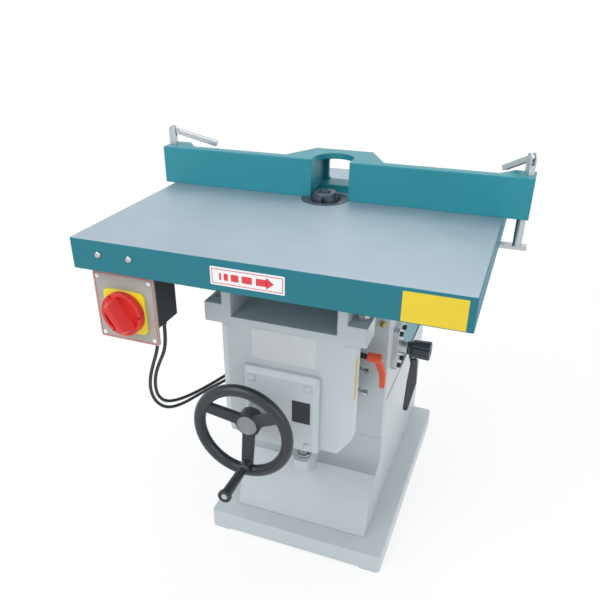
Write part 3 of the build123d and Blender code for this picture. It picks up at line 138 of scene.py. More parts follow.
# Sprayed enamel on iron castings and sheet: even colour, faint orange peel of a few millimetres
greyEnamelLook = {"dark": "b5bec2", "light": "c1c9cc", "patch": 0.16, "grain": 0.004, "gloss": (0.30, 0.42),
                  "relief": 0.12, "depth": 0.0006, "round": 0.004}
tealEnamelLook = {"dark": "1d7f8c", "light": "228997", "patch": 0.14, "grain": 0.004, "gloss": (0.34, 0.44),
                  "relief": 0.10, "depth": 0.0006, "round": 0.0025}
tableEnamelLook = {**tealEnamelLook, "dark": "0c6a78", "light": "117382"}
motorEnamelLook = {"dark": "4b545c", "light": "586168", "patch": 0.08, "grain": 0.003, "gloss": (0.35, 0.5),
                   "relief": 0.2, "depth": 0.0006, "round": 0.002}


def enamel(name, look, coat):
    settings = {"IOR": 1.45, "Coat Weight": coat, "Coat Roughness": 0.2}
    material, tree, surface, place = startMaterial(name, settings)
    mottle(tree, surface, place, look)
    return material


# Ground cast iron under a film of oil: pale blue grey, fine lines along the grinding, enamel below the edge
groundTopLook = {"dark": "96a7b3", "light": "a9b8c2", "line": 0.0012, "stretch": 40.0, "lineShare": 0.4,
                 "stainsPerMetre": 6.0, "edge": 0.9247, "gloss": (0.42, 0.54), "metallic": 0.8}


def enamelAndGroundTop(name, look, paint):
    material, tree, surface, place = startMaterial(name, {"IOR": 1.45})
    colour = mottle(tree, surface, place, paint)
    along = addNode(tree, "ShaderNodeMapping", {"Scale": (1 / look["stretch"], 1.0, 1.0)}, {"Vector": place})
    lines = addNode(tree, "ShaderNodeTexNoise", {"Scale": 1 / look["line"], "Detail": 2.0},
                    {"Vector": along.outputs["Vector"]})
    stain = addNode(tree, "ShaderNodeTexNoise", {"Scale": look["stainsPerMetre"], "Detail": 3.0},
                    {"Vector": place})
    both = addNode(tree, "ShaderNodeMath", {"operation": "MULTIPLY_ADD", 1: look["lineShare"]},
                   {0: lines.outputs["Fac"], 2: stain.outputs["Fac"]})
    bare = mixColours(tree, both.outputs["Value"], look)
    height = addNode(tree, "ShaderNodeSeparateXYZ", {}, {"Vector": place})
    top = addNode(tree, "ShaderNodeMath", {"operation": "GREATER_THAN", 1: look["edge"]},
                  {0: height.outputs["Z"]})
    shown = addNode(tree, "ShaderNodeMix", {"data_type": "RGBA"}, {"Factor": top.outputs["Value"]})
    tree.links.new(colour.outputs[mixOut], shown.inputs[mixFirst])
    tree.links.new(bare.outputs[mixOut], shown.inputs[mixSecond])
    tree.links.new(shown.outputs[mixOut], surface.inputs["Base Color"])
    bright = addNode(tree, "ShaderNodeMapRange", {"To Min": 0.0, "To Max": look["metallic"]},
                     {"Value": top.outputs["Value"]})
    tree.links.new(bright.outputs["Result"], surface.inputs["Metallic"])
    dull = addNode(tree, "ShaderNodeMapRange", {"To Min": look["gloss"][0], "To Max": look["gloss"][1]},
                   {"Value": both.outputs["Value"]})
    tree.links.new(dull.outputs["Result"], surface.inputs["Roughness"])
    return material


# Machined and plated metals: tool lines or spangle a millimetre or so wide, drawn as coarse as shows
turnedSteelLook = {"dark": "a9adb0", "light": "c9cccd", "patch": 0.02, "grain": 0.0012, "gloss": (0.22, 0.34),
                   "relief": 0.15, "depth": 0.0002, "round": 0.0008}
zincLook = {"dark": "aab2b5", "light": "d0d6d8", "patch": 0.009, "grain": 0.002, "gloss": (0.28, 0.45),
            "relief": 0.12, "depth": 0.0003, "round": 0.0012}
castIronLook = {"dark": "7d8286", "light": "92979a", "patch": 0.03, "grain": 0.002, "gloss": (0.4, 0.55),
                "relief": 0.25, "depth": 0.0004, "round": 0.0015}
satinAluminiumLook = {"dark": "83888c", "light": "9a9fa3", "patch": 0.006, "grain": 0.0012,
                      "gloss": (0.35, 0.45), "relief": 0.15, "depth": 0.0002, "round": 0.0006}
oiledIronLook = {"dark": "4f5962", "light": "66717b", "patch": 0.012, "grain": 0.0015, "gloss": (0.3, 0.42),
                 "relief": 0.15, "depth": 0.0003, "round": 0.0008}
blackOxideLook = {"dark": "2b3036", "light": "3d444b", "patch": 0.012, "grain": 0.0015, "gloss": (0.35, 0.5),
                  "relief": 0.15, "depth": 0.0003, "round": 0.0008}
brassLook = {"dark": "a98a3f", "light": "c9a95a", "patch": 0.01, "grain": 0.0012, "gloss": (0.25, 0.4),
             "relief": 0.12, "depth": 0.0002, "round": 0.0008}


def metal(name, look, metallic):
    material, tree, surface, place = startMaterial(name, {"Metallic": metallic})
    mottle(tree, surface, place, look)
    return material


# Moulded plastics and rubber: even colour, fine spark-eroded grain; the dark red rim line among them is
# painted shade
blackPhenolicLook = {"dark": "20262b", "light": "2a3137", "patch": 0.05, "grain": 0.0014,
                     "gloss": (0.28, 0.40), "relief": 0.12, "depth": 0.0003, "round": 0.002}
blackNylonLook = {**blackPhenolicLook, "dark": "2f383f", "light": "3a454d"}
blackBoxLook = {"dark": "26292d", "light": "2f3337", "patch": 0.06, "grain": 0.0016, "gloss": (0.45, 0.58),
                "relief": 0.25, "depth": 0.0003, "round": 0.0015}
greyPanelLook = {"dark": "9d9c96", "light": "a9a8a1", "patch": 0.05, "grain": 0.0014, "gloss": (0.38, 0.5),
                 "relief": 0.12, "depth": 0.0002, "round": 0.0008}
redAbsLook = {"dark": "c8201c", "light": "d62c26", "patch": 0.04, "grain": 0.0014, "gloss": (0.28, 0.38),
              "relief": 0.1, "depth": 0.0002, "round": 0.0015}
yellowAbsLook = {"dark": "e4cf1c", "light": "efdc2e", "patch": 0.04, "grain": 0.0014, "gloss": (0.28, 0.38),
                 "relief": 0.1, "depth": 0.0002, "round": 0.001}
cableSheathLook = {"dark": "1f2326", "light": "2b3033", "patch": 0.02, "grain": 0.001, "gloss": (0.45, 0.6),
                   "relief": 0.2, "depth": 0.0002, "round": 0.0005}
# Rim line: painted shade of the gap along the pedestal's rim, tinted dark red
rimShadeLineLook = {"dark": "7e2b36", "light": "93394a", "patch": 0.03, "grain": 0.0012, "gloss": (0.5, 0.6),
                 "relief": 0.2, "depth": 0.0002, "round": 0.0005}
yellowPvcLook = {"dark": "d8bd22", "light": "e2c92e", "patch": 0.03, "grain": 0.001, "gloss": (0.4, 0.5),
                 "relief": 0.05, "depth": 0.0001, "round": 0.0002}
palePvcLook = {"dark": "dfe2e4", "light": "e9ebec", "patch": 0.03, "grain": 0.001, "gloss": (0.4, 0.5),
               "relief": 0.05, "depth": 0.0001, "round": 0.0002}
greyPvcLook = {**palePvcLook, "dark": "c4c9ca", "light": "cdd2d2"}

# Baked lacquer on the clamping lever, and screen-printed ink: even colour, hardly any relief
orangeLacquerLook = {"dark": "e2512f", "light": "ec6040", "patch": 0.03, "grain": 0.002,
                     "gloss": (0.25, 0.38), "relief": 0.15, "depth": 0.0003, "round": 0.002}
redInkLook = {"dark": "cf2f37", "light": "dc3c42", "patch": 0.02, "grain": 0.0012, "gloss": (0.4, 0.5),
              "relief": 0.05, "depth": 0.0001, "round": 0.0001}
blackInkLook = {"dark": "25282b", "light": "303437", "patch": 0.02, "grain": 0.0012, "gloss": (0.4, 0.5),
                "relief": 0.05, "depth": 0.0001, "round": 0.0001}


def nonMetal(name, look):
    material, tree, surface, place = startMaterial(name, {"IOR": 1.5})
    mottle(tree, surface, place, look)
    return material


finishes = {
    "greyEnamel": enamel("greyEnamel", greyEnamelLook, 0.15),
    "tealEnamel": enamel("tealEnamel", tealEnamelLook, 0.05),
    "tealTable": enamelAndGroundTop("tealTable", groundTopLook, tableEnamelLook),
    "motorEnamel": enamel("motorEnamel", motorEnamelLook, 0.1),
    "turnedSteel": metal("turnedSteel", turnedSteelLook, 1.0),
    "zincPlate": metal("zincPlate", zincLook, 1.0),
    "castIron": metal("castIron", castIronLook, 0.8),
    "satinAluminium": metal("satinAluminium", satinAluminiumLook, 0.8),
    "oiledIron": metal("oiledIron", oiledIronLook, 0.7),
    "blackOxide": metal("blackOxide", blackOxideLook, 0.7),
    "brass": metal("brass", brassLook, 1.0),
    "blackPhenolic": nonMetal("blackPhenolic", blackPhenolicLook),
    "blackNylon": nonMetal("blackNylon", blackNylonLook),
    "blackBox": nonMetal("blackBox", blackBoxLook),
    "greyPanel": nonMetal("greyPanel", greyPanelLook),
    "redAbs": nonMetal("redAbs", redAbsLook),
    "yellowAbs": nonMetal("yellowAbs", yellowAbsLook),
    "orangeLacquer": nonMetal("orangeLacquer", orangeLacquerLook),
    "cableSheath": nonMetal("cableSheath", cableSheathLook),
    "palePvc": nonMetal("palePvc", palePvcLook),
    "greyPvc": nonMetal("greyPvc", greyPvcLook),
    "yellowPvc": nonMetal("yellowPvc", yellowPvcLook),
    "redInk": nonMetal("redInk", redInkLook),
    "blackInk": nonMetal("blackInk", blackInkLook),
    # painted shade for the rim line
    "rimShadeLine": nonMetal("rimShadeLine", rimShadeLineLook),
}

wornBy = {
    "greyEnamel": ["base_plate", "pedestal_shell", "pedestal_apron", "column", "knee_casting", "gear_cover",
                   "screw_bracket", "cover_screws"],
    "tealEnamel": ["fence", "rear_cover"],
    "tealTable": ["table"],
    "motorEnamel": ["motor_body", "motor_plate"],
    "turnedSteel": ["lead_screw", "spindle_bearings", "gib_screws", "table_bolts", "levelling_studs",
                    "shaft_bush", "drive_shaft", "drive_pinion", "grip_axle", "spindle_pulley", "motor_shaft",
                    "tension_shaft", "apron_bolts"],
    "zincPlate": ["left_clamp_rod", "left_clamp_post", "left_clamp_lever", "right_clamp_rod",
                  "right_clamp_post", "right_clamp_lever", "tension_flange"],
    "castIron": ["dovetail_way", "spindle_housing", "gib_strip", "motor_pulley"],
    "oiledIron": ["table_ring", "cutter_block", "spindle_nut", "spindle_shaft"],
    "blackOxide": ["flange_screws", "lock_stud"],
    "brass": ["oil_cup", "lift_nut"],
    "blackPhenolic": ["handwheel", "crank_grip"],
    "blackNylon": ["tension_knob", "tension_lever"],
    "blackBox": ["switch_housing", "column_glands", "box_glands"],
    "greyPanel": ["switch_panel"],
    "palePvc": ["panel_screws"],
    "redAbs": ["switch_handle"],
    "yellowAbs": ["switch_plate"],
    "orangeLacquer": ["lock_lever"],
    "cableSheath": ["drive_belt", "cable_left", "cable_right"],
}
for finish, names in wornBy.items():
    for name in names:
        cad[name].data.materials.clear()
        cad[name].data.materials.append(finishes[finish])
print("materials:", len(finishes), "finishes on", sum(len(names) for names in wornBy.values()), "solids")


# Cables, hanging from the switch box and going behind the knee to the column
cableFacts = {
    "diameter": 0.008,
    "left": {
        "node": "cable_left",
        "length": 0.600,
        "route": [
            (-0.268, -0.347, 0.718), (-0.268, -0.347, 0.684), (-0.276, -0.346, 0.644),
            (-0.294, -0.342, 0.602), (-0.312, -0.335, 0.556), (-0.324, -0.322, 0.508),
            (-0.325, -0.302, 0.462), (-0.312, -0.276, 0.432), (-0.288, -0.244, 0.430),
            (-0.261, -0.212, 0.443), (-0.230, -0.182, 0.459), (-0.196, -0.150, 0.474),
            (-0.156, -0.097, 0.492), (-0.156, -0.053, 0.492),
        ],
    },
    "right": {
        "node": "cable_right",
        "length": 0.573,
        "route": [
            (-0.249, -0.347, 0.718), (-0.249, -0.347, 0.684), (-0.258, -0.344, 0.646),
            (-0.278, -0.338, 0.610), (-0.298, -0.331, 0.568), (-0.312, -0.318, 0.524),
            (-0.320, -0.299, 0.480), (-0.316, -0.272, 0.448), (-0.296, -0.240, 0.440),
            (-0.268, -0.204, 0.446), (-0.238, -0.168, 0.459), (-0.208, -0.132, 0.475),
            (-0.175, -0.097, 0.492), (-0.175, -0.053, 0.492),
        ],
    },
}


def addCable(side, facts):
    route = facts[side]["route"]
    line = bpy.data.curves.new(f"{side}Cable", "CURVE")
    line.dimensions = "3D"
    line.resolution_u = 12
    spline = line.splines.new("NURBS")
    spline.points.add(len(route) - 1)
    for point, place in zip(spline.points, route):
        point.co = (*place, 1.0)
    spline.order_u = 3
    spline.use_endpoint_u = True
    cable = bpy.data.objects.new(f"{side}Cable", line)
    bpy.context.scene.collection.objects.link(cable)
    centreLine = bpy.data.meshes.new_from_object(cable)
    line.bevel_depth = facts["diameter"] / 2
    line.bevel_resolution = 4
    line.use_fill_caps = True
    bpy.ops.object.select_all(action="DESELECT")
    cable.select_set(True)
    bpy.context.view_layer.objects.active = cable
    bpy.ops.object.convert(target="MESH")
    cable = bpy.context.object
    bpy.ops.object.shade_smooth()
    cable.data.materials.clear()
    cable.data.materials.append(finishes["cableSheath"])
    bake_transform(cable)
    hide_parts(facts[side]["node"])


for side in ("left", "right"):
    addCable(side, cableFacts)
print("cables: two routed")


# Modelling helpers
roundedAngle = math.radians(35)  # flatter edges than this are shaded round
nearAxis = 0.9  # a direction with this much of an axis in it runs along the axis
plateEase = 0.3  # share of a plate's thickness by which its rim is eased


def selectPart(piece, mode, test):
    bpy.ops.object.mode_set(mode="OBJECT")
    mesh = piece.data
    for group in (mesh.vertices, mesh.edges, mesh.polygons):
        for part in group:
            part.select = False
    for part in {"EDGE": mesh.edges, "FACE": mesh.polygons, "VERT": mesh.vertices}[mode]:
        part.select = test(part)
    bpy.ops.object.mode_set(mode="EDIT")
    bpy.ops.mesh.select_mode(type=mode)


def edgeRun(piece, edge):
    ends = [piece.data.vertices[index].co for index in edge.vertices]
    return (ends[1] - ends[0]).normalized()


def clearSelection():
    if bpy.context.object and bpy.context.object.mode == "EDIT":
        bpy.ops.object.mode_set(mode="OBJECT")
    bpy.ops.object.select_all(action="DESELECT")


def applyPlace():
    bpy.ops.object.transform_apply(location=True, rotation=True, scale=True)


def joinPieces(pieces):
    clearSelection()
    for piece in pieces:
        piece.select_set(True)
    bpy.context.view_layer.objects.active = pieces[0]
    bpy.ops.object.join()
    return bpy.context.object


def settle(piece, name, body, finish):
    bpy.ops.object.mode_set(mode="OBJECT")
    piece.name = name
    piece.data.name = name
    piece.data.materials.clear()
    piece.data.materials.append(finishes[finish])
    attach(piece, body)


# Pieces on a face that looks to the right are made facing the front, then turned about the spindle's axis
def frontFace(facts):
    return -facts["face"] if facts["looks"] == "right" else facts["face"]


def turnToFace(piece, facts):
    bpy.ops.object.mode_set(mode="OBJECT")
    if facts["looks"] == "right":
        piece.rotation_euler.z = math.pi / 2
    applyPlace()


# A thin plate on a flat face, its corners rounded and its rim eased
def addPlate(name, facts, body, finish):
    left, right = facts["along"]
    low, high = facts["z"]
    clearSelection()
    middle = ((left + right) / 2, frontFace(facts) - facts["thick"] / 2, (low + high) / 2)
    bpy.ops.mesh.primitive_cube_add(size=1, location=middle)
    plate = bpy.context.object
    plate.scale = (right - left, facts["thick"], high - low)
    applyPlace()
    selectPart(plate, "EDGE", lambda edge: abs(edgeRun(plate, edge).y) > nearAxis)
    bpy.ops.mesh.bevel(offset=facts["corner"], segments=5)
    selectPart(plate, "FACE", lambda face: face.normal.y < -nearAxis)
    bpy.ops.mesh.bevel(offset=facts["thick"] * plateEase, segments=2)
    turnToFace(plate, facts)
    settle(plate, name, body, finish)


# Print and paint lines: flat bars, frames and arrow heads, given the thickness of an ink film
def addFlat(along, z, y):
    clearSelection()
    bpy.ops.mesh.primitive_plane_add(size=1, location=((along[0] + along[1]) / 2, y, (z[0] + z[1]) / 2),
                                     rotation=(math.pi / 2, 0, 0))
    flat = bpy.context.object
    flat.scale = (along[1] - along[0], z[1] - z[0], 1)
    applyPlace()
    return flat


def addFrame(along, z, y, width, corner):
    flat = addFlat(along, z, y)
    selectPart(flat, "VERT", lambda vertex: True)
    bpy.ops.mesh.bevel(offset=corner, segments=4, affect="VERTICES")
    selectPart(flat, "FACE", lambda face: True)
    bpy.ops.mesh.inset(thickness=width)
    bpy.ops.mesh.delete(type="FACE")
    bpy.ops.object.mode_set(mode="OBJECT")
    return flat


def addHead(along, z, y):
    flat = addFlat(along, z, y)
    middle = (along[0] + along[1]) / 2
    selectPart(flat, "VERT", lambda vertex: vertex.co.x > middle)
    bpy.ops.mesh.merge(type="CENTER")
    bpy.ops.object.mode_set(mode="OBJECT")
    return flat


def addInk(name, facts, body, finish):
    y = frontFace(facts)
    flats = [addFlat(along, z, y) for along, z in facts.get("bars", [])]
    flats += [addFrame(along, z, y, width, corner) for along, z, width, corner in facts.get("frames", [])]
    flats += [addHead(along, z, y) for along, z in facts.get("heads", [])]
    ink = joinPieces(flats)
    film = ink.modifiers.new("film", "SOLIDIFY")
    film.thickness = facts["film"]
    film.offset = 1
    bpy.ops.object.modifier_apply(modifier="film")
    turnToFace(ink, facts)
    settle(ink, name, body, finish)


# A round cap on the front of a hub: a rim, and a shallow dish inside it
hubCap = {"centre": (-0.049, 0.512), "face": -0.366, "radius": 0.0238, "thick": 0.004, "rim": 0.0035,
          "dish": 0.0012, "ease": 0.00054}


def isRim(piece, edge, facts, radii):
    x, z = facts["centre"]
    spots = [piece.data.vertices[index].co for index in edge.vertices]
    reach = [math.hypot(spot.x - x, spot.z - z) for spot in spots]
    front = all(spot.y < facts["face"] - facts["thick"] / 2 for spot in spots)
    along = abs(spots[0].y - spots[1].y) < 1e-6
    return front and along and any(all(abs(far - radius) < 1e-4 for far in reach) for radius in radii)


def addHubCap(facts):
    x, z = facts["centre"]
    clearSelection()
    bpy.ops.mesh.primitive_cylinder_add(vertices=64, radius=facts["radius"], depth=facts["thick"],
                                        location=(x, facts["face"] - facts["thick"] / 2, z),
                                        rotation=(math.pi / 2, 0, 0))
    cap = bpy.context.object
    applyPlace()
    selectPart(cap, "FACE", lambda face: face.normal.y < -nearAxis)
    bpy.ops.mesh.inset(thickness=facts["rim"])
    bpy.ops.mesh.extrude_region_move(TRANSFORM_OT_translate={"value": (0, facts["dish"], 0)})
    rimEdges = [facts["radius"], facts["radius"] - facts["rim"]]
    selectPart(cap, "EDGE", lambda edge: isRim(cap, edge, facts, rimEdges))
    bpy.ops.mesh.bevel(offset=facts["ease"], segments=3)
    settle(cap, "hubCap", "handwheel", "satinAluminium")
    bpy.ops.object.shade_smooth_by_angle(angle=roundedAngle)


addHubCap(hubCap)

# Bare plates: a grey one on the knee, a black one on the gear cover, a yellow and a pale one on the apron
kneePlate = {"looks": "front", "along": (-0.073, 0.077), "z": (0.632, 0.707), "face": -0.275,
             "thick": 0.0006, "corner": 0.002}
coverPlate = {"looks": "front", "along": (0.030, 0.073), "z": (0.496, 0.553), "face": -0.295,
              "thick": 0.0012, "corner": 0.0015}
yellowPlate = {"looks": "front", "along": (0.277, 0.387), "z": (0.8615, 0.9185), "face": -0.425,
               "thick": 0.0006, "corner": 0.0015}
arrowPlate = {"looks": "front", "along": (-0.085, 0.065), "z": (0.873, 0.910), "face": -0.425,
              "thick": 0.0006, "corner": 0.0015}
addPlate("kneePlate", kneePlate, "knee", "greyPvc")
addPlate("coverPlate", coverPlate, "knee", "blackBox")
addPlate("yellowPlate", yellowPlate, "knee", "yellowPvc")
addPlate("arrowPlate", arrowPlate, "knee", "palePvc")

# Feed arrow: a framed row of bars that grow into an arrow
arrowBarHeight = (0.8845, 0.8985)
arrowBars = [(-0.066, -0.062), (-0.0565, -0.048), (-0.042, -0.0265), (-0.020, 0.0006), (0.0085, 0.0300)]
arrowInk = {
    "looks": "front", "face": -0.4256, "film": 0.0002,
    "bars": [(bar, arrowBarHeight) for bar in arrowBars],
    "frames": [((-0.0815, 0.0615), (0.8765, 0.9065), 0.0014, 0.0015)],
    "heads": [((0.0290, 0.0440), (0.8795, 0.9035))],
}
addInk("arrowInk", arrowInk, "knee", "redInk")

# Red line round the switch panel
panelLine = {
    "looks": "front", "face": -0.405, "film": 0.0002,
    "frames": [((-0.3695, -0.2295), (0.6995, 0.8485), 0.0018, 0.004)],
}
addInk("panelLine", panelLine, "knee", "redInk")

# Height scale on the knee's right side: a yellow strip with a tick every 5 mm
scaleStrip = {"looks": "right", "along": (-0.241, -0.231), "z": (0.548, 0.655), "face": 0.158,
              "thick": 0.0008, "corner": 0.001}
scaleTicks = {"count": 21, "step": 0.005, "start": -0.2405, "shortEnd": -0.2345, "longEnd": -0.2325,
              "z": (0.5512, 0.5518)}


def tickBar(index, ticks):
    end = ticks["shortEnd"] if index % 2 else ticks["longEnd"]
    rise = index * ticks["step"]
    return (ticks["start"], end), (ticks["z"][0] + rise, ticks["z"][1] + rise)


scaleInk = {
    "looks": "right", "face": 0.1588, "film": 0.0002,
    "bars": [tickBar(index, scaleTicks) for index in range(scaleTicks["count"])],
}
addPlate("scaleStrip", scaleStrip, "knee", "yellowPvc")
addInk("scaleInk", scaleInk, "knee", "blackInk")
print("plates: five fixed, with their print")

# Dark red strip on the pedestal's rim, round both sides and the back: painted shade of the thin gap between
# the panel's top edge and the column, in the dark red that line shows
rimShadeStrip = {"half": 0.187, "front": -0.014, "back": 0.503, "z": 0.416, "height": 0.003, "proud": 0.0006,
            "ease": 0.0003}


def addRimShadeStrip(facts):
    half = facts["half"] + facts["proud"]
    back = facts["back"] + facts["proud"]
    clearSelection()
    bpy.ops.mesh.primitive_cube_add(size=1, location=(0, (facts["front"] + back) / 2, facts["z"]))
    strip = bpy.context.object
    strip.scale = (2 * half, back - facts["front"], facts["height"])
    applyPlace()
    selectPart(strip, "FACE", lambda face: abs(face.normal.z) > nearAxis or face.normal.y < -nearAxis)
    bpy.ops.mesh.delete(type="FACE")
    bpy.ops.object.mode_set(mode="OBJECT")
    wall = strip.modifiers.new("wall", "SOLIDIFY")
    wall.thickness = 2 * facts["proud"]
    wall.offset = -1
    bpy.ops.object.modifier_apply(modifier="wall")
    selectPart(strip, "EDGE", lambda edge: abs(edgeRun(strip, edge).z) < nearAxis)
    bpy.ops.mesh.bevel(offset=facts["ease"], segments=2)
    settle(strip, "rimShadeStrip", "frame", "rimShadeLine")


addRimShadeStrip(rimShadeStrip)

# Small domed screws with a recess: modelled once, then copied to where each one holds something
screwHead = {"radius": 0.005, "height": 0.0032, "shoulder": 0.00175, "dome": 0.00096, "lip": 0.00125,
             "recess": 0.0012}
rearCoverScrews = [(side * 0.165, 0.501, height) for side in (-1, 1) for height in (0.440, 0.597)]
lockHubScrew = (0.179, -0.0765, 0.569)


def modelScrewHead(facts):
    clearSelection()
    bpy.ops.mesh.primitive_cylinder_add(vertices=32, radius=facts["radius"], depth=facts["height"],
                                        location=(0, 0, facts["height"] / 2))
    head = bpy.context.object
    applyPlace()
    selectPart(head, "FACE", lambda face: face.normal.z > nearAxis)
    bpy.ops.mesh.inset(thickness=facts["shoulder"])
    bpy.ops.transform.translate(value=(0, 0, facts["dome"]))
    bpy.ops.mesh.inset(thickness=facts["lip"])
    bpy.ops.mesh.extrude_region_move(TRANSFORM_OT_translate={"value": (0, 0, -facts["recess"])})
    bpy.ops.object.mode_set(mode="OBJECT")
    bpy.ops.object.shade_smooth_by_angle(angle=roundedAngle)
    return head


def copyScrewHead(model, name, place, turn, body):
    clearSelection()
    model.select_set(True)
    bpy.context.view_layer.objects.active = model
    bpy.ops.object.duplicate(linked=False)
    head = bpy.context.object
    head.rotation_euler = turn
    head.location = place
    applyPlace()
    settle(head, name, body, "turnedSteel")


def addScrewHeads():
    model = modelScrewHead(screwHead)
    for index, place in enumerate(rearCoverScrews):
        copyScrewHead(model, f"rearCoverScrew{index + 1}", place, (-math.pi / 2, 0, 0), "frame")
    copyScrewHead(model, "lockHubScrew", lockHubScrew, (0, math.pi / 2, 0), "lock")
    clearSelection()
    model.select_set(True)
    bpy.ops.object.delete()


addScrewHeads()
print("trim: rim strip and", len(rearCoverScrews) + 1, "screws")

# Lead screw: a two-start trapezoid thread, 5 mm from crest to crest, on a collar and a plain foot
leadScrew = {"centre": (0.0, -0.127), "foot": 0.235, "collar": (0.264, 0.272), "top": 0.585, "core": 0.0088,
             "crest": 0.011, "collarRadius": 0.018, "lead": 0.010, "edge": 0.001, "stepsPerTurn": 40,
             "roundedAngle": math.radians(30)}
threadSteps = [(0.0, "core"), (0.0018, "core"), (0.0025, "crest"), (0.0043, "crest"), (0.005, "core"),
               (0.0068, "core"), (0.0075, "crest"), (0.0093, "crest"), (0.010, "core")]


def addTurned(radius, low, high, centre, edge):
    clearSelection()
    bpy.ops.mesh.primitive_cylinder_add(vertices=48, radius=radius, depth=high - low,
                                        location=(*centre, (low + high) / 2))
    piece = bpy.context.object
    applyPlace()
    selectPart(piece, "FACE", lambda face: abs(face.normal.z) > nearAxis)
    bpy.ops.mesh.bevel(offset=edge, segments=2)
    bpy.ops.object.mode_set(mode="OBJECT")
    return piece


# The profile of one lead, drawn from a circle opened between its first and last point
def addThreadProfile(facts):
    clearSelection()
    bpy.ops.mesh.primitive_circle_add(vertices=len(threadSteps), radius=facts["core"])
    thread = bpy.context.object
    bpy.ops.object.mode_set(mode="EDIT")
    bpy.ops.mesh.select_mode(type="EDGE")
    bpy.ops.object.mode_set(mode="OBJECT")
    for edge in thread.data.edges:
        edge.select = set(edge.vertices) == {0, len(threadSteps) - 1}
    for vertex, (rise, ring) in zip(thread.data.vertices, threadSteps):
        vertex.co = (facts[ring], 0, rise)
    bpy.ops.object.mode_set(mode="EDIT")
    bpy.ops.mesh.delete(type="EDGE_FACE")
    bpy.ops.object.mode_set(mode="OBJECT")
    return thread


# The profile wound up the screw, its two open ends closed
def addThread(facts):
    start = facts["collar"][1] - facts["lead"]
    turns = int((facts["top"] - facts["lead"] - start) / facts["lead"])
    thread = addThreadProfile(facts)
    twist = thread.modifiers.new("twist", "SCREW")
    twist.axis = "Z"
    twist.screw_offset = facts["lead"]
    twist.iterations = turns
    twist.steps = facts["stepsPerTurn"]
    twist.render_steps = facts["stepsPerTurn"]
    twist.use_merge_vertices = True
    twist.merge_threshold = 0.00001
    bpy.ops.object.modifier_apply(modifier="twist")
    weld = thread.modifiers.new("weld", "WELD")
    weld.merge_threshold = 0.00005
    bpy.ops.object.modifier_apply(modifier="weld")
    thread.location = (*facts["centre"], start)
    applyPlace()
    bpy.ops.object.mode_set(mode="EDIT")
    bpy.ops.mesh.select_all(action="DESELECT")
    bpy.ops.mesh.select_mode(type="EDGE")
    bpy.ops.mesh.select_non_manifold()
    bpy.ops.mesh.fill()
    bpy.ops.mesh.select_all(action="SELECT")
    bpy.ops.mesh.normals_make_consistent(inside=False)
    bpy.ops.object.mode_set(mode="OBJECT")
    return thread


def addLeadScrew(facts):
    centre = facts["centre"]
    thread = addThread(facts)
    foot = addTurned(facts["crest"], facts["foot"], facts["collar"][0], centre, facts["edge"])
    collar = addTurned(facts["collarRadius"], *facts["collar"], centre, facts["edge"])
    tip = addTurned(facts["core"], facts["top"] - 2 * facts["lead"], facts["top"], centre, facts["edge"])
    screw = joinPieces([thread, foot, collar, tip])
    bpy.ops.object.shade_smooth_by_angle(angle=facts["roundedAngle"])
    settle(screw, "leadScrew", "frame", "turnedSteel")
    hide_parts("lead_screw")


addLeadScrew(leadScrew)
print("lead screw: threaded")

# Floor and light: both show white, and the floor keeps some shadow near the part
floorLook = {"colour": "ffffff", "size": 30.0, "glow": 0.72, "fade": (0.9, 2.6)}  # glow: share of plain white


def seenRays(tree, path):
    seen = addNode(tree, "ShaderNodeMath", {"operation": "MAXIMUM"},
                   {0: path.outputs["Is Camera Ray"], 1: path.outputs["Is Glossy Ray"]})
    return seen.outputs["Value"]


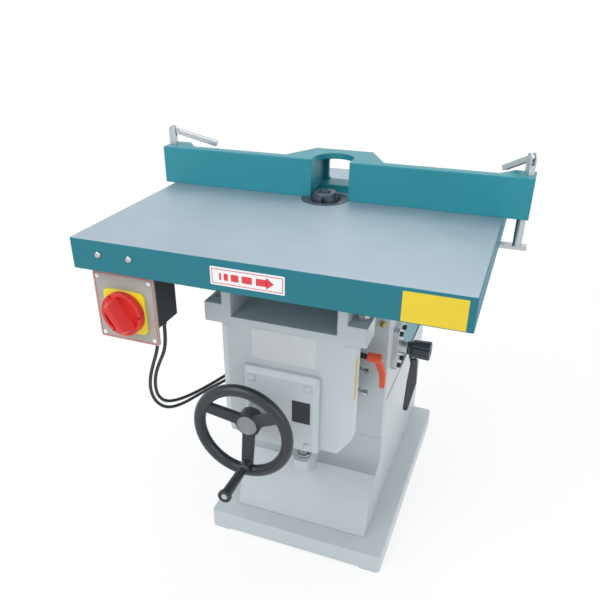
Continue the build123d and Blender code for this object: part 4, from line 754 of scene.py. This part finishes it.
def addFloor(look):
    clearSelection()
    bpy.ops.mesh.primitive_plane_add(size=look["size"], location=(0, 0, 0))
    floor = bpy.context.object
    floor.name = "floor"
    material, tree, surface, place = startMaterial("paleFloor", {"Base Color": hexColour(look["colour"]),
                                                                 "Roughness": 0.9})
    path = addNode(tree, "ShaderNodeLightPath", {}, {})
    seen = seenRays(tree, path)
    reach = addNode(tree, "ShaderNodeVectorMath", {"operation": "LENGTH"}, {0: place})
    plain = addNode(tree, "ShaderNodeMapRange", {"From Min": look["fade"][0], "From Max": look["fade"][1],
                                                 "To Min": look["glow"], "To Max": 1.0},
                    {"Value": reach.outputs["Value"]})
    share = addNode(tree, "ShaderNodeMath", {"operation": "MULTIPLY"}, {0: seen, 1: plain.outputs["Result"]})
    white = addNode(tree, "ShaderNodeEmission", {"Color": hexColour("ffffff"), "Strength": 1.0}, {})
    mixed = addNode(tree, "ShaderNodeMixShader", {}, {0: share.outputs["Value"], 1: surface.outputs["BSDF"],
                                                      2: white.outputs["Emission"]})
    output = next(node for node in tree.nodes if node.type == "OUTPUT_MATERIAL")
    tree.links.new(mixed.outputs["Shader"], output.inputs["Surface"])
    floor.data.materials.append(material)


studio = {
    "world": ("f3f5f7", 0.75),
    "target": (0, 0, 0.6),
    "key": {"place": (-1.6, -2.4, 3.2), "size": 2.4, "power": 60.0},
    "fill": {"place": (2.8, -1.4, 2.2), "size": 2.6, "power": 26.0},
    "top": {"place": (0.2, 0.9, 3.6), "size": 3.0, "power": 30.0},
}


def addLights(settings):
    world = bpy.data.worlds.new("studio")
    bpy.context.scene.world = world
    world.use_nodes = True
    tree = world.node_tree
    tree.nodes.clear()
    colour, strength = settings["world"]
    path = addNode(tree, "ShaderNodeLightPath", {}, {})
    seen = seenRays(tree, path)
    shown = addNode(tree, "ShaderNodeMath", {"operation": "MAXIMUM"},
                    {0: seen, 1: path.outputs["Is Transmission Ray"]})
    soft = addNode(tree, "ShaderNodeBackground", {"Color": hexColour(colour), "Strength": strength}, {})
    white = addNode(tree, "ShaderNodeBackground", {"Color": hexColour("ffffff"), "Strength": 1.0}, {})
    mixed = addNode(tree, "ShaderNodeMixShader", {}, {0: shown.outputs["Value"], 1: soft.outputs[0],
                                                      2: white.outputs[0]})
    addNode(tree, "ShaderNodeOutputWorld", {}, {"Surface": mixed.outputs[0]})
    target = Vector(settings["target"])
    for name in ("key", "fill", "top"):
        facts = settings[name]
        bpy.ops.object.light_add(type="AREA", location=facts["place"])
        lamp = bpy.context.object
        lamp.name = name
        lamp.data.size = facts["size"]
        lamp.data.energy = facts["power"]
        lamp.rotation_euler = (target - Vector(facts["place"])).to_track_quat("-Z", "Y").to_euler()


addFloor(floorLook)
addLights(studio)
bpy.context.scene.view_settings.view_transform = "Standard"
print("stage: floor and lights set")
